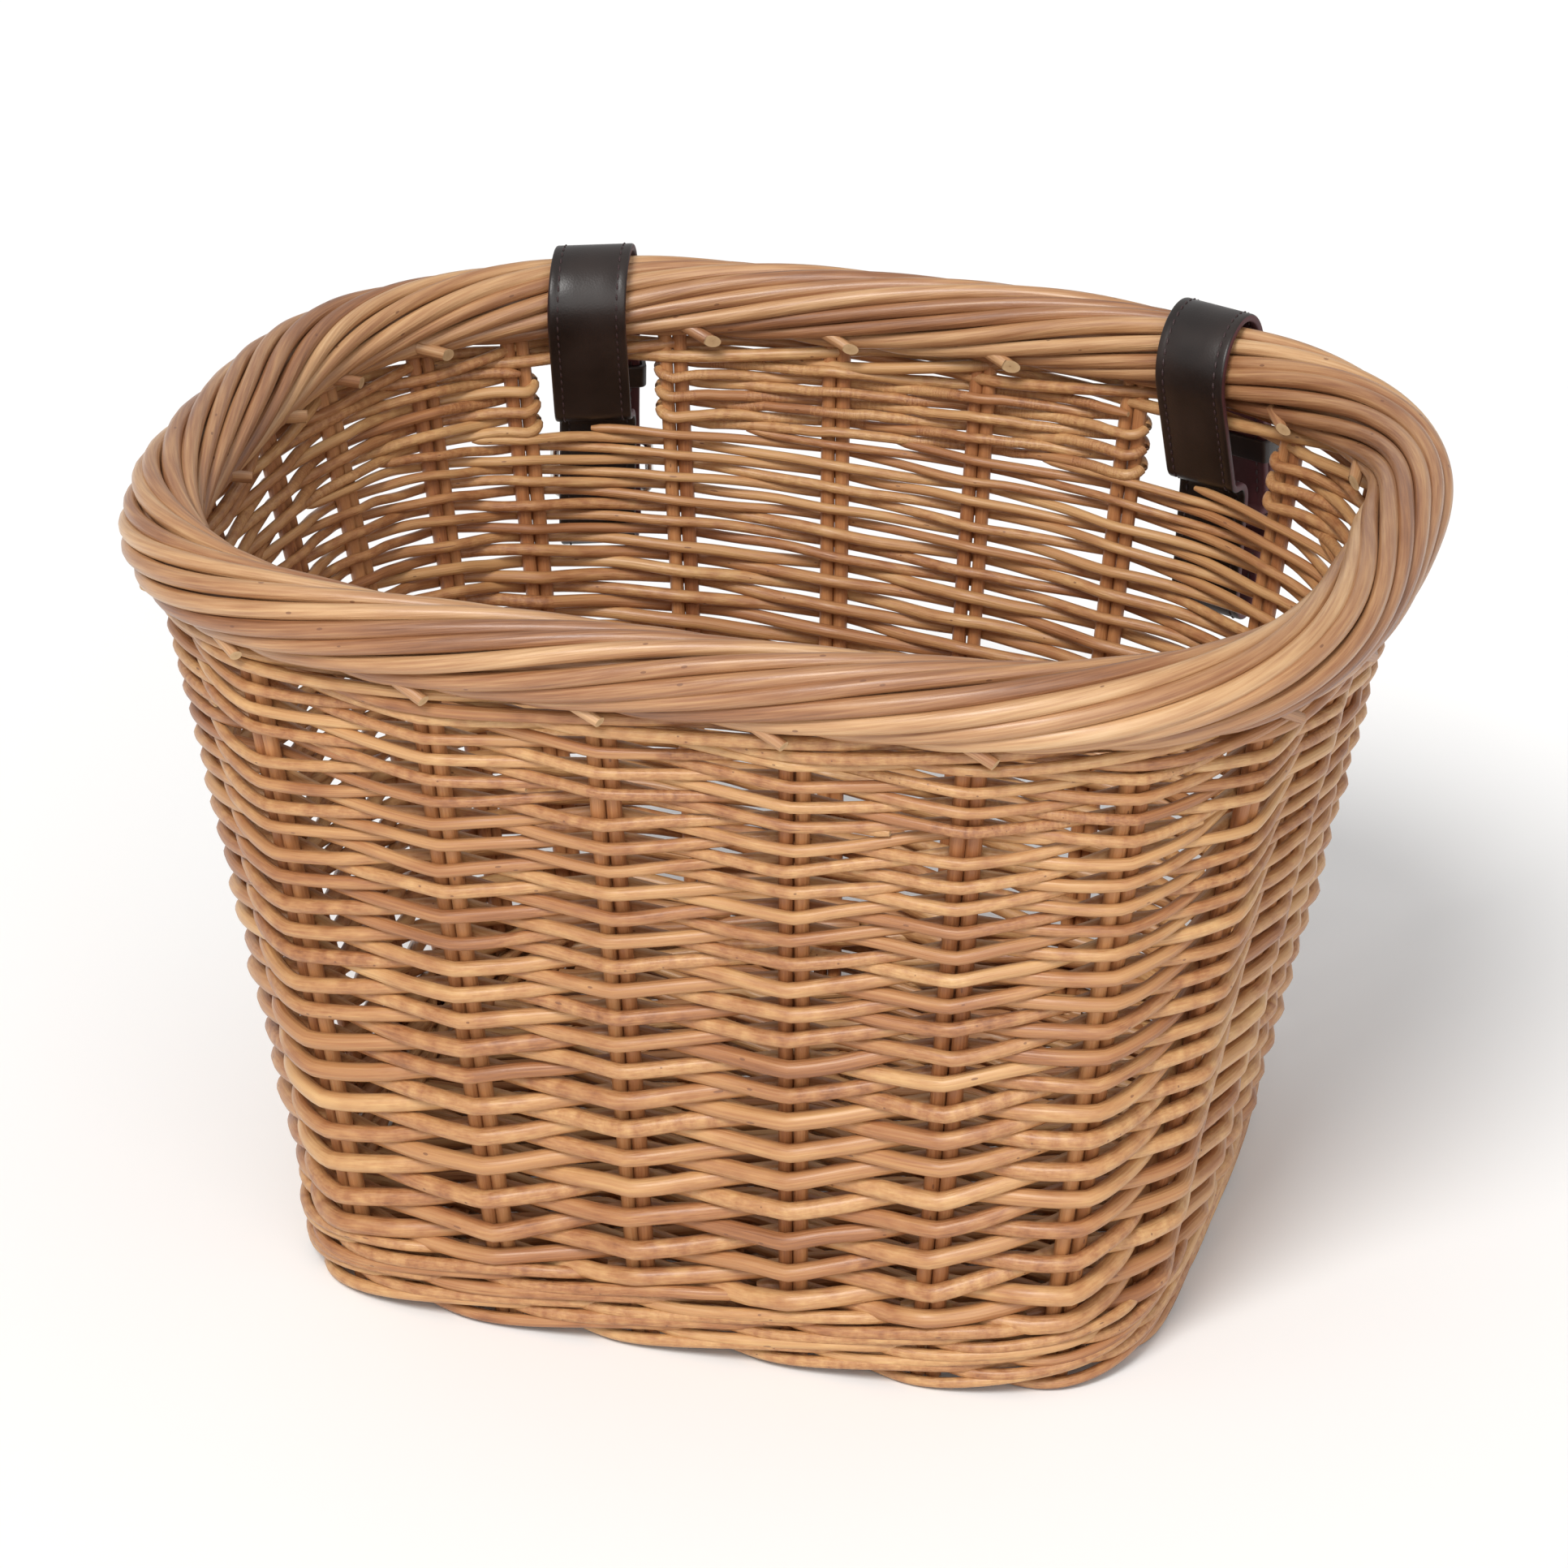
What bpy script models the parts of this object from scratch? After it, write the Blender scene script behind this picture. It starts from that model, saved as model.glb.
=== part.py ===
"""Woven willow handlebar basket with two buckled leather straps.

Metres, +Z up.  The basket stands on z = 0.  -Y is the rounded front, +Y is the
flatter back that hangs on the handlebar, and X runs across.  "Left" is -X.
The origin is under the middle of the whole, where it stands.
"""
import math

import bmesh
import bpy
import numpy as np
from mathutils import Vector

# ---- plan of the basket --------------------------------------------------
# A plan is a loop of two half ovals that share one half width: the back half
# reaches `back` with roundness `n_back`, the front half `front`, `n_front`,
# both measured from the widest line at y = WIDEST_Y.
RIM_PLAN = dict(half_width=0.186, back=0.1357, n_back=2.45, front=0.1678, n_front=3.5)
FOOT_PLAN = dict(half_width=0.133, back=0.112, n_back=3.5, front=0.1335, n_front=6.0)
PLAN_STEPS = 4000
WIDEST_Y = 0.0117
RIM_HEIGHT = 0.2434

# ---- layers of the wall, bottom to top --------------------------------------
GAP = 0.0003
FOOT_WALE_TOP = 0.0240
SLOT_BOTTOM = 0.1985
SLOT_TOP = 0.2228
TOP_WALE_TOP = 0.2288
WALL_HALF_BOTTOM = 0.0074
WALL_HALF_TOP = 0.0062
BETWEEN_STAKES = 0.80
EDGE_THINNING = 0.70

# ---- upright stakes, in pairs ----------------------------------------------
# Share of the way round for each pair, from mid back clockwise from above.
STAKES = (0.0210, 0.0685, 0.1240, 0.1665, 0.2085, 0.2505, 0.2925, 0.3345,
          0.3745, 0.4175, 0.4635, 0.5155, 0.5640, 0.6185, 0.6710, 0.7225,
          0.7725, 0.8100, 0.8480, 0.8785, 0.9260, 0.9755)
STAKE_COUNT = len(STAKES)
STAKE_HALF_WIDTH = 0.0050
STAKE_FLAT_HALF = 0.0029
STAKE_HALF_DEPTH = 0.0025
STAKE_CORNER_DEPTH = 0.0010
STAKE_FOOT = 0.0053
SLOT_AFTER = (1, 19)
SLOT_EDGE = 0.0063

# ---- rolled border ----------------------------------------------------------
BORDER_RIDGE = 0.0140
BORDER_VALLEY = 0.0131
BORDER_RIDGES = 6
BORDER_TURNS = 4
BORDER_STEPS = 88

# ---- woven base ------------------------------------------------------------
MAT_BOTTOM = 0.0020
MAT_TOP = 0.0110
MAT_CLEARANCE = 0.0005
STICK_RADIUS = 0.0030
STICK_XS = (-0.092, -0.046, 0.0, 0.046, 0.092)
STICK_SIDES = 12
STICK_INSET = 0.0010

# ---- leather straps, in each strap's own frame --------------------------------
# Local X runs along the rim, local Y points out of the basket, Z is up.
STRAP_HALF_WIDTH = 0.0130
STRAP_HALF_THICK = 0.0013
BORDER_BEND = 0.0170
BORDER_BEND_Y = -0.0003
INNER_TURN = 200
SLOT_DIP = 8
SLOT_BEND_IN = 0.0050
SLOT_IN_Y = 0.0005
SLOT_IN_Z = 0.2062
SLOT_BEND_OUT = 0.0055
SLOT_OUT_Y = 0.0025
SLOT_OUT_Z = 0.1953
HANG_Y = 0.0040
HANG_Z = 0.1600
TAIL_LOW_Y = 0.0212
TAIL_ENTRY_Z = 0.1655
BAR_Y = 0.0245
BAR_Z = 0.1820
FIXED_BEND_Y = 0.0205
FIXED_BEND_Z = 0.2260
FIXED_STRAIGHT_Z = 0.1920
TAIL_OVER_Y = 0.0310
TAIL_OVER_Z = 0.1815
TAIL_LAP = 0.0032
TAIL_LAP_Z = 0.1965
TAIL_TIP_Z = 0.2215
TIP_HALF_WIDTH = 0.0050
TIP_LENGTH = 0.0080
EYE_RADIUS = 0.0042
EYE_HOLE = 0.0018
NOTCH_RADIUS = 0.00435
NOTCH_HALF_WIDTH = 0.0025
PRONG_HOLE_HALF_WIDTH = 0.0018
PRONG_HOLE_HALF_DEPTH = 0.0029
PRONG_HOLE_HALF_LENGTH = 0.0052
BEND_STEPS = 8

# Both straps hang a little askew: square to the rim on the outside, and wound
# sideways over the border and through the slot.
SEAT_SLIDE = {"left": 0.0056, "right": -0.0100}
WIND = {"left": 0.22, "right": -0.20}
WIND_IN_Y = -0.0175
WIND_OUT_Y = 0.0200

# ---- buckle and keeper -------------------------------------------------------
WIRE = 0.0015
WIRE_SIDES = 8
FRAME_HALF_WIDTH = 0.0163
FRAME_DROP = 0.0185
FRAME_CORNER = 0.0030
CORNER_STEPS = 3
PRONG_WIRE = 0.0011
PRONG_EYE = 0.0038
PRONG_EYE_HALF_WIDTH = 0.0017
PRONG_TIP_Y = 0.0031
PRONG_TIP_DROP = 0.0203
PRONG_START = 0.0025
KEEPER_Z = 0.2075
KEEPER_HALF_HEIGHT = 0.0040
KEEPER_CLEAR = 0.0004
KEEPER_WALL = 0.0018

CUT_MARGIN = 0.004
ROUND_SIDES = 20


# ---- helpers -------------------------------------------------------------------
def clear_scene():
    for obj in list(bpy.data.objects):
        bpy.data.objects.remove(obj, do_unlink=True)


def material(name, colour, roughness, metallic):
    mat = bpy.data.materials.new(name)
    mat.use_nodes = True
    shader = mat.node_tree.nodes["Principled BSDF"]
    shader.inputs["Base Color"].default_value = (*colour, 1.0)
    shader.inputs["Roughness"].default_value = roughness
    shader.inputs["Metallic"].default_value = metallic
    mat.diffuse_color = (*colour, 1.0)
    return mat


def solid(name, verts, faces, mat, parent=None, location=(0, 0, 0), smooth=None):
    """One closed object from points and faces, with its faces turned outwards."""
    mesh = bpy.data.meshes.new(name)
    bm = bmesh.new()
    points = [bm.verts.new(v) for v in verts]
    for face in faces:
        bm.faces.new([points[i] for i in face])
    bmesh.ops.recalc_face_normals(bm, faces=bm.faces)
    bm.to_mesh(mesh)
    bm.free()
    if smooth is not None:
        mesh.shade_smooth()
        mesh.set_sharp_from_angle(angle=math.radians(smooth))
    obj = bpy.data.objects.new(name, mesh)
    bpy.context.collection.objects.link(obj)
    if mat is not None:
        mesh.materials.append(mat)
    obj.parent = parent
    obj.location = location
    return obj


def loft(rings, closed_path=False):
    """Vertices and faces of a tube through equal rings of points."""
    sides = len(rings[0])
    verts = [p for ring in rings for p in ring]
    faces = []
    count = len(rings)
    for i in range(count if closed_path else count - 1):
        a, b = i * sides, (i + 1) % count * sides
        for j in range(sides):
            k = (j + 1) % sides
            faces.append((a + j, a + k, b + k, b + j))
    if not closed_path:
        faces.append(tuple(range(sides)))
        faces.append(tuple(range((count - 1) * sides, count * sides)))
    return verts, faces


def rod(name, start, end, radius, sides, mat=None, parent=None):
    """A round rod from start to end, its object's origin at the start."""
    start, end = Vector(start), Vector(end)
    axis = end - start
    turn = axis.to_track_quat("Z", "Y").to_matrix()
    rings = []
    for along in (0.0, axis.length):
        ring = []
        for j in range(sides):
            angle = 2 * math.pi * j / sides
            flat = Vector((radius * math.cos(angle), radius * math.sin(angle), along))
            ring.append(turn @ flat)
        rings.append(ring)
    verts, faces = loft(rings)
    return solid(name, verts, faces, mat, parent, start, smooth=40)


def hide_cutter(obj):
    obj.hide_render = True
    obj.display_type = "WIRE"
    return obj


def boolean(obj, other, operation):
    hide_cutter(other)
    mod = obj.modifiers.new(operation.lower(), "BOOLEAN")
    mod.operation = operation
    mod.object = other
    mod.solver = "EXACT"


# ---- the wall's shape ------------------------------------------------------------
def plan_table(half_width, back, n_back, front, n_front):
    """The loop's points from mid back over +X, and the share of its length."""
    angle = np.linspace(0.0, 2 * math.pi, PLAN_STEPS + 1)
    sine, cosine = np.sin(angle), np.cos(angle)
    behind = cosine >= 0
    power = np.where(behind, 2 / n_back, 2 / n_front)
    reach = np.where(behind, back, front)
    x = half_width * np.sign(sine) * np.abs(sine) ** power
    y = reach * np.sign(cosine) * np.abs(cosine) ** power
    steps = np.hypot(np.diff(x), np.diff(y))
    share = np.concatenate([[0.0], np.cumsum(steps)]) / steps.sum()
    return x, y + WIDEST_Y, share


RIM = plan_table(**RIM_PLAN)
FOOT = plan_table(**FOOT_PLAN)


def plan_point(table, share):
    x, y, shares = table
    share = share % 1.0
    return np.array([np.interp(share, shares, x), np.interp(share, shares, y)])


def wall_point(share, z):
    """Middle of the wall at a share of the way round and a height."""
    foot, rim = plan_point(FOOT, share), plan_point(RIM, share)
    return foot + (rim - foot) * z / RIM_HEIGHT


def wall_frame(share, z):
    """Unit vectors along the wall (clockwise from above) and out of it."""
    step = 2e-3
    along = wall_point(share + step, z) - wall_point(share - step, z)
    along /= np.linalg.norm(along)
    return along, np.array([-along[1], along[0]])


def wall_half(z):
    low = WALL_HALF_BOTTOM
    return low + (WALL_HALF_TOP - low) * z / RIM_HEIGHT


class Column:
    """An upright line in the wall: a stake's frame, or a place between stakes."""

    def __init__(self, share, slide=0.0, thickness=1.0, hole=None):
        self.share = share
        self.along, self.out = wall_frame(share, RIM_HEIGHT / 2)
        self.slide = slide
        self.thickness = thickness
        self.hole = hole

    def point(self, z, offset):
        flat = wall_point(self.share, z) + self.slide * self.along + offset * self.out
        return (flat[0], flat[1], z)

    def face(self, z, side):
        return self.point(z, side * wall_half(z) * self.thickness)


def stake_columns(index):
    wide = STAKE_HALF_WIDTH + GAP
    flat = STAKE_FLAT_HALF + GAP / 2
    deep = STAKE_HALF_DEPTH + GAP
    corner = STAKE_CORNER_DEPTH + GAP
    share = STAKES[index % STAKE_COUNT]
    profile = ((-wide, corner), (-flat, deep), (flat, deep), (wide, corner))
    return [Column(share, slide, 1.0, depth) for slide, depth in profile]


def between_columns(index):
    here = STAKES[index % STAKE_COUNT]
    there = STAKES[(index + 1) % STAKE_COUNT]
    if there < here:
        there += 1.0
    return [Column(here + (there - here) * t, 0, BETWEEN_STAKES) for t in (0.36, 0.64)]


def ring_run(first, count, closed):
    """The columns of `count` stakes from `first`; an open run ends in an edge."""
    columns = []
    for i in range(count):
        columns += stake_columns(first + i)
        if closed or i < count - 1:
            columns += between_columns(first + i)
    if not closed:
        start = STAKES[first % STAKE_COUNT]
        end = STAKES[(first + count - 1) % STAKE_COUNT]
        columns.insert(0, Column(start, -SLOT_EDGE, EDGE_THINNING))
        columns.append(Column(end, SLOT_EDGE, EDGE_THINNING))
    return columns


def wall_ring(name, first, count, closed, low, high, mat, floor=None):
    """A band of the wall with an upright channel for each stake.

    With a floor the channels are blind and start there, else they run through.
    """
    columns = ring_run(first, count, closed)
    hole_low = low if floor is None else floor
    verts, faces, ids = [], [], []
    for col in columns:
        entry = {}
        for key, z in (("low", low), ("high", high)):
            for tag, side in (("out", 1), ("in", -1)):
                entry[key, tag] = len(verts)
                verts.append(col.face(z, side))
        if col.hole is not None:
            for key, z in (("low", hole_low), ("high", high)):
                for tag, side in (("hole_out", 1), ("hole_in", -1)):
                    entry[key, tag] = len(verts)
                    verts.append(col.point(z, side * col.hole))
        ids.append(entry)

    total = len(columns)
    for i in range(total if closed else total - 1):
        a, b = ids[i], ids[(i + 1) % total]
        cut_a = columns[i].hole is not None
        cut_b = columns[(i + 1) % total].hole is not None
        same = cut_a and cut_b and columns[i].share == columns[(i + 1) % total].share
        for tag in ("out", "in"):
            faces.append((a["low", tag], b["low", tag], b["high", tag], a["high", tag]))
        if same:
            for tag in ("hole_out", "hole_in"):
                faces.append((a["low", tag], b["low", tag],
                              b["high", tag], a["high", tag]))
        for key in ("low", "high"):
            if key == "low" and floor is not None:
                faces.append((a[key, "out"], b[key, "out"], b[key, "in"], a[key, "in"]))
                continue
            if same:
                faces.append((a[key, "out"], b[key, "out"],
                              b[key, "hole_out"], a[key, "hole_out"]))
                faces.append((a[key, "hole_in"], b[key, "hole_in"],
                              b[key, "in"], a[key, "in"]))
                continue
            loop = [a[key, "out"], b[key, "out"]]
            if cut_b:
                loop += [b[key, "hole_out"], b[key, "hole_in"]]
            loop += [b[key, "in"], a[key, "in"]]
            if cut_a:
                loop += [a[key, "hole_in"], a[key, "hole_out"]]
            faces.append(tuple(loop))
        if cut_b and not same:
            faces.append((b["low", "hole_out"], b["low", "hole_in"],
                          b["high", "hole_in"], b["high", "hole_out"]))
        if cut_a and not same:
            faces.append((a["low", "hole_out"], a["low", "hole_in"],
                          a["high", "hole_in"], a["high", "hole_out"]))
    if floor is not None:
        for i in range(total):
            cell = [(i + j) % total for j in range(4)]
            shares = {columns[c].share for c in cell}
            if len(shares) == 1:
                loop = [ids[c]["low", "hole_out"] for c in cell]
                loop += [ids[c]["low", "hole_in"] for c in reversed(cell)]
                faces.append(tuple(loop))
    if not closed:
        for entry in (ids[0], ids[-1]):
            faces.append((entry["low", "out"], entry["low", "in"],
                          entry["high", "in"], entry["high", "out"]))
    return solid(name, verts, faces, mat)


def stake_pair(index, mat):
    """Two upright rods side by side, as one flat oval rod in the wall's lean."""
    col = Column(STAKES[index])
    profile = []
    for across, depth in ((STAKE_HALF_WIDTH, STAKE_CORNER_DEPTH),
                          (STAKE_FLAT_HALF, STAKE_HALF_DEPTH),
                          (-STAKE_FLAT_HALF, STAKE_HALF_DEPTH),
                          (-STAKE_HALF_WIDTH, STAKE_CORNER_DEPTH)):
        profile.append((across, depth))
    profile += [(across, -depth) for across, depth in reversed(profile)]
    foot = Vector(col.point(STAKE_FOOT, 0))
    rings = []
    for z in (STAKE_FOOT, TOP_WALE_TOP):
        middle = Vector(col.point(z, 0)) - foot
        ring = []
        for across, depth in profile:
            flat = across * col.along + depth * col.out
            ring.append(middle + Vector((flat[0], flat[1], 0)))
        rings.append(ring)
    verts, faces = loft(rings)
    return solid(f"stake_pair_{index + 1:02d}", verts, faces, mat, None, foot)


def border(mat):
    """Rolled rope border: a lobed round section that turns as it goes round."""
    sides = 2 * BORDER_RIDGES
    rings = []
    for i in range(BORDER_STEPS):
        share = i / BORDER_STEPS
        centre = wall_point(share, RIM_HEIGHT)
        out = wall_frame(share, RIM_HEIGHT)[1]
        ring = []
        for j in range(sides):
            radius = BORDER_VALLEY if j % 2 else BORDER_RIDGE
            angle = 2 * math.pi * (j / sides - BORDER_TURNS * share)
            flat = centre + radius * math.cos(angle) * out
            ring.append((flat[0], flat[1], RIM_HEIGHT + radius * math.sin(angle)))
        rings.append(ring)
    verts, faces = loft(rings, closed_path=True)
    return solid("border", verts, faces, mat, smooth=50)


def mat_outline(z):
    """The base's edge at height z, just inside the foot wale."""
    points = []
    for col in ring_run(0, STAKE_COUNT, True):
        points.append(col.point(z, -wall_half(z) * col.thickness - MAT_CLEARANCE))
    return points


def reach_at(edge, x):
    """Front and back of a plan loop on the line x."""
    hits = []
    for p, q in zip(edge, edge[1:] + edge[:1]):
        if (p[0] - x) * (q[0] - x) < 0:
            share = (x - p[0]) / (q[0] - p[0])
            hits.append(p[1] + (q[1] - p[1]) * share)
    return min(hits), max(hits)


def base(mat):
    """The woven base as a slab, with a channel for each stick."""
    verts, faces = loft([mat_outline(MAT_BOTTOM), mat_outline(MAT_TOP)])
    slab = solid("base_mat", verts, faces, mat)
    edge = mat_outline(MAT_BOTTOM)
    middle = (MAT_BOTTOM + MAT_TOP) / 2
    for number, x in enumerate(STICK_XS, 1):
        sides = [reach_at(edge, x + side * STICK_RADIUS) for side in (-1, 1)]
        front = max(side[0] for side in sides) + STICK_INSET
        back = min(side[1] for side in sides) - STICK_INSET
        rod(f"base_stick_{number}", (x, front, middle), (x, back, middle),
            STICK_RADIUS, STICK_SIDES, mat)
        cutter = rod(f"stick_channel_{number}", (x, front - CUT_MARGIN * 4, middle),
                     (x, back + CUT_MARGIN * 4, middle), STICK_RADIUS + GAP, STICK_SIDES)
        boolean(slab, cutter, "DIFFERENCE")


# ---- straps ----------------------------------------------------------------------
def arc(centre_y, centre_z, radius, start, end, steps=BEND_STEPS):
    points = []
    for i in range(steps + 1):
        angle = math.radians(start + (end - start) * i / steps)
        points.append((centre_y + radius * math.cos(angle),
                       centre_z + radius * math.sin(angle)))
    return points


def fixed_slope():
    return (FIXED_BEND_Y - BAR_Y) / (FIXED_BEND_Z - FIXED_STRAIGHT_Z)


def strap_path():
    """Middle line of the strap as (y, z, half thickness, half width).

    From the eye on the buckle's bar up the outside, over the border, slanting
    down the inside, out through the slot, down, round below, up through the
    buckle frame and over the bar to the tip.
    """
    path = []
    for degrees in (12, 40, 65, 90, 115, 140):
        angle = math.radians(degrees)
        path.append((BAR_Y, BAR_Z - EYE_RADIUS * math.cos(angle),
                     EYE_RADIUS * math.sin(angle)))
    top = math.pi - math.asin(STRAP_HALF_THICK / EYE_RADIUS)
    path.append((BAR_Y, BAR_Z - EYE_RADIUS * math.cos(top), STRAP_HALF_THICK))
    leather = [(BAR_Y, FIXED_STRAIGHT_Z), (FIXED_BEND_Y, FIXED_BEND_Z)]
    leather += arc(BORDER_BEND_Y, RIM_HEIGHT, BORDER_BEND, 0, INNER_TURN, 13)
    leather += arc(SLOT_IN_Y, SLOT_IN_Z, SLOT_BEND_IN, INNER_TURN, 270 - SLOT_DIP, 4)
    leather += arc(SLOT_OUT_Y, SLOT_OUT_Z, SLOT_BEND_OUT, 90 - SLOT_DIP, 0, 5)
    loop_radius = (TAIL_LOW_Y - HANG_Y) / 2
    leather += arc((TAIL_LOW_Y + HANG_Y) / 2, HANG_Z, loop_radius, 180, 360)
    leather += [(TAIL_LOW_Y, TAIL_ENTRY_Z), (TAIL_OVER_Y, TAIL_OVER_Z)]
    slope = fixed_slope()
    for z in (TAIL_LAP_Z, TAIL_TIP_Z - TIP_LENGTH):
        leather.append((BAR_Y + slope * (z - FIXED_STRAIGHT_Z) + TAIL_LAP, z))
    path += [(y, z, STRAP_HALF_THICK) for y, z in leather]
    path = [(*p, STRAP_HALF_WIDTH) for p in path]
    for part, share in ((0.5, 0.80), (0.85, 0.40), (1.0, 0.0)):
        z = TAIL_TIP_Z - TIP_LENGTH * (1 - part)
        y = BAR_Y + slope * (z - FIXED_STRAIGHT_Z) + TAIL_LAP
        wide = TIP_HALF_WIDTH + (STRAP_HALF_WIDTH - TIP_HALF_WIDTH) * share
        path.append((y, z, STRAP_HALF_THICK, wide))
    return path


def sideways(side, y):
    """How far the strap's middle lies along the rim from its buckle's, at depth y."""
    return WIND[side] * (min(max(y, WIND_IN_Y), WIND_OUT_Y) - WIND_OUT_Y)


def strap(name, mat, parent):
    """The strap: its path with the leather's thickness, as wide as the leather."""
    path = strap_path()
    side_name = name.split("_")[0]
    rings = []
    last = len(path) - 1
    for i, (y, z, thick, wide) in enumerate(path):
        before, after = path[max(i - 1, 0)], path[min(i + 1, last)]
        into = Vector((y - before[0], z - before[1]))
        out = Vector((after[0] - y, after[1] - z))
        into = into.normalized() if into.length else out.normalized()
        out = out.normalized() if out.length else into
        mean = (into + out).normalized()
        stretch = thick / max(mean.dot(into), 0.5)
        side = Vector((mean.y, -mean.x)) * stretch
        x = sideways(side_name, y)
        rings.append([(x + wide, y + side.x, z + side.y), (x - wide, y + side.x, z + side.y),
                      (x - wide, y - side.x, z - side.y), (x + wide, y - side.x, z - side.y)])
    verts, faces = loft(rings)
    belt = solid(name, verts, faces, mat, parent, smooth=35)
    width = STRAP_HALF_WIDTH + CUT_MARGIN
    hole = rod(f"{side_name}_eye_cutter", (-width, BAR_Y, BAR_Z), (width, BAR_Y, BAR_Z),
               EYE_HOLE, ROUND_SIDES, None, parent)
    notch = rod(f"{side_name}_notch_cutter", (-NOTCH_HALF_WIDTH, BAR_Y, BAR_Z),
                (NOTCH_HALF_WIDTH, BAR_Y, BAR_Z), NOTCH_RADIUS, ROUND_SIDES, None, parent)
    slot = prong_hole(f"{side_name}_prong_hole_cutter", parent)
    for cutter in (hole, notch, slot):
        boolean(belt, cutter, "DIFFERENCE")
    return belt


def prong_direction():
    return Vector((0, PRONG_TIP_Y, -PRONG_TIP_DROP)).normalized()


def prong_hole(name, parent):
    """A slanted box along the prong where it passes through the strap's tail."""
    tail = Vector((0, TAIL_OVER_Y - TAIL_LOW_Y, TAIL_OVER_Z - TAIL_ENTRY_Z))
    start = Vector((0, TAIL_LOW_Y - BAR_Y, TAIL_ENTRY_Z - BAR_Z))
    way = prong_direction()
    reach = (start.y * tail.z - start.z * tail.y) / (way.y * tail.z - way.z * tail.y)
    across = Vector((0, -way.z, way.y))
    # The hole reaches further out than in, because the prong only swings out.
    middle = way * reach + across * PRONG_HOLE_HALF_DEPTH * 0.35
    rings = []
    for end in (-1, 1):
        ring = []
        for x, depth in ((1, 1), (-1, 1), (-1, -1), (1, -1)):
            point = middle + way * PRONG_HOLE_HALF_LENGTH * end
            point = point + across * PRONG_HOLE_HALF_DEPTH * depth
            ring.append((x * PRONG_HOLE_HALF_WIDTH, point.y, point.z))
        rings.append(ring)
    verts, faces = loft(rings)
    return solid(name, verts, faces, None, parent, (0, BAR_Y, BAR_Z))


def frame_ring(name, mat, parent):
    """Rectangular wire frame; its upper side is the bar that it hangs on."""
    path = []
    half = FRAME_HALF_WIDTH
    for x, z, start in ((half, 0, 0), (-half, 0, 90), (-half, -FRAME_DROP, 180),
                        (half, -FRAME_DROP, 270)):
        centre_x = x - math.copysign(FRAME_CORNER, x)
        centre_z = z - FRAME_CORNER if z == 0 else z + FRAME_CORNER
        for i in range(CORNER_STEPS + 1):
            angle = math.radians(start + 90 * i / CORNER_STEPS)
            direction = Vector((math.cos(angle), 0, math.sin(angle)))
            centre = Vector((centre_x, 0, centre_z)) + direction * FRAME_CORNER
            path.append((centre, direction))
    rings = []
    for centre, direction in path:
        ring = []
        for j in range(WIRE_SIDES):
            angle = 2 * math.pi * (j + 0.5) / WIRE_SIDES
            turned = direction * math.cos(angle) + Vector((0, math.sin(angle), 0))
            ring.append(centre + turned * WIRE)
        rings.append(ring)
    verts, faces = loft(rings, closed_path=True)
    return solid(name, verts, faces, mat, parent, (0, BAR_Y, BAR_Z), smooth=50)


def prong(name, mat, parent):
    """Buckle tongue: an eye round the bar, with an arm down over the frame."""
    half = PRONG_EYE_HALF_WIDTH
    side = name.split("_")[0]
    rings = []
    for x, radius in ((-half, EYE_HOLE), (-half, PRONG_EYE), (half, PRONG_EYE),
                      (half, EYE_HOLE)):
        ring = []
        for j in range(ROUND_SIDES):
            angle = 2 * math.pi * j / ROUND_SIDES
            ring.append((x, radius * math.cos(angle), radius * math.sin(angle)))
        rings.append(ring)
    verts, faces = loft(rings, closed_path=True)
    eye = solid(name, verts, faces, mat, parent, (0, BAR_Y, BAR_Z), smooth=50)
    way = prong_direction()
    bar = Vector((0, BAR_Y, BAR_Z))
    tip = bar + Vector((0, PRONG_TIP_Y, -PRONG_TIP_DROP))
    arm = rod(f"{side}_prong_arm", bar + way * PRONG_START, tip, PRONG_WIRE, 10,
              mat, parent)
    boolean(eye, arm, "UNION")
    return eye


def keeper(name, mat, parent):
    """Leather loop round the strap and its tail, square to the lean of both."""
    slope = fixed_slope()
    fixed_y = BAR_Y + slope * (KEEPER_Z - FIXED_STRAIGHT_Z)
    inner = -STRAP_HALF_THICK - KEEPER_CLEAR
    outer = TAIL_LAP + STRAP_HALF_THICK + KEEPER_CLEAR
    wide = STRAP_HALF_WIDTH + KEEPER_CLEAR
    rings = []
    for height, grow in ((-1, 0), (-1, KEEPER_WALL), (1, KEEPER_WALL), (1, 0)):
        z = height * KEEPER_HALF_HEIGHT
        rings.append([(wide + grow, outer + grow, z), (-wide - grow, outer + grow, z),
                      (-wide - grow, inner - grow, z), (wide + grow, inner - grow, z)])
    verts, faces = loft(rings, closed_path=True)
    obj = solid(name, verts, faces, mat, parent, (0, fixed_y, KEEPER_Z))
    obj.rotation_euler = (-math.atan(slope), 0, 0)
    return obj


def strap_set(side, slot, leather, steel):
    """A strap with its buckle and keeper, on an empty square to the wall."""
    before, after = STAKES[slot], STAKES[slot + 1]
    share = (before + after) / 2
    centre = wall_point(share, RIM_HEIGHT)
    along = wall_frame(share, RIM_HEIGHT)[0]
    seat = bpy.data.objects.new(f"{side}_strap_seat", None)
    bpy.context.collection.objects.link(seat)
    slide = SEAT_SLIDE[side]
    seat.location = (centre[0] + along[0] * slide, centre[1] + along[1] * slide, 0)
    seat.rotation_euler = (0, 0, math.atan2(along[1], along[0]))
    strap(f"{side}_strap", leather, seat)
    frame_ring(f"{side}_buckle_frame", steel, seat)
    prong(f"{side}_buckle_prong", steel, seat)
    keeper(f"{side}_strap_keeper", leather, seat)


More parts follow.
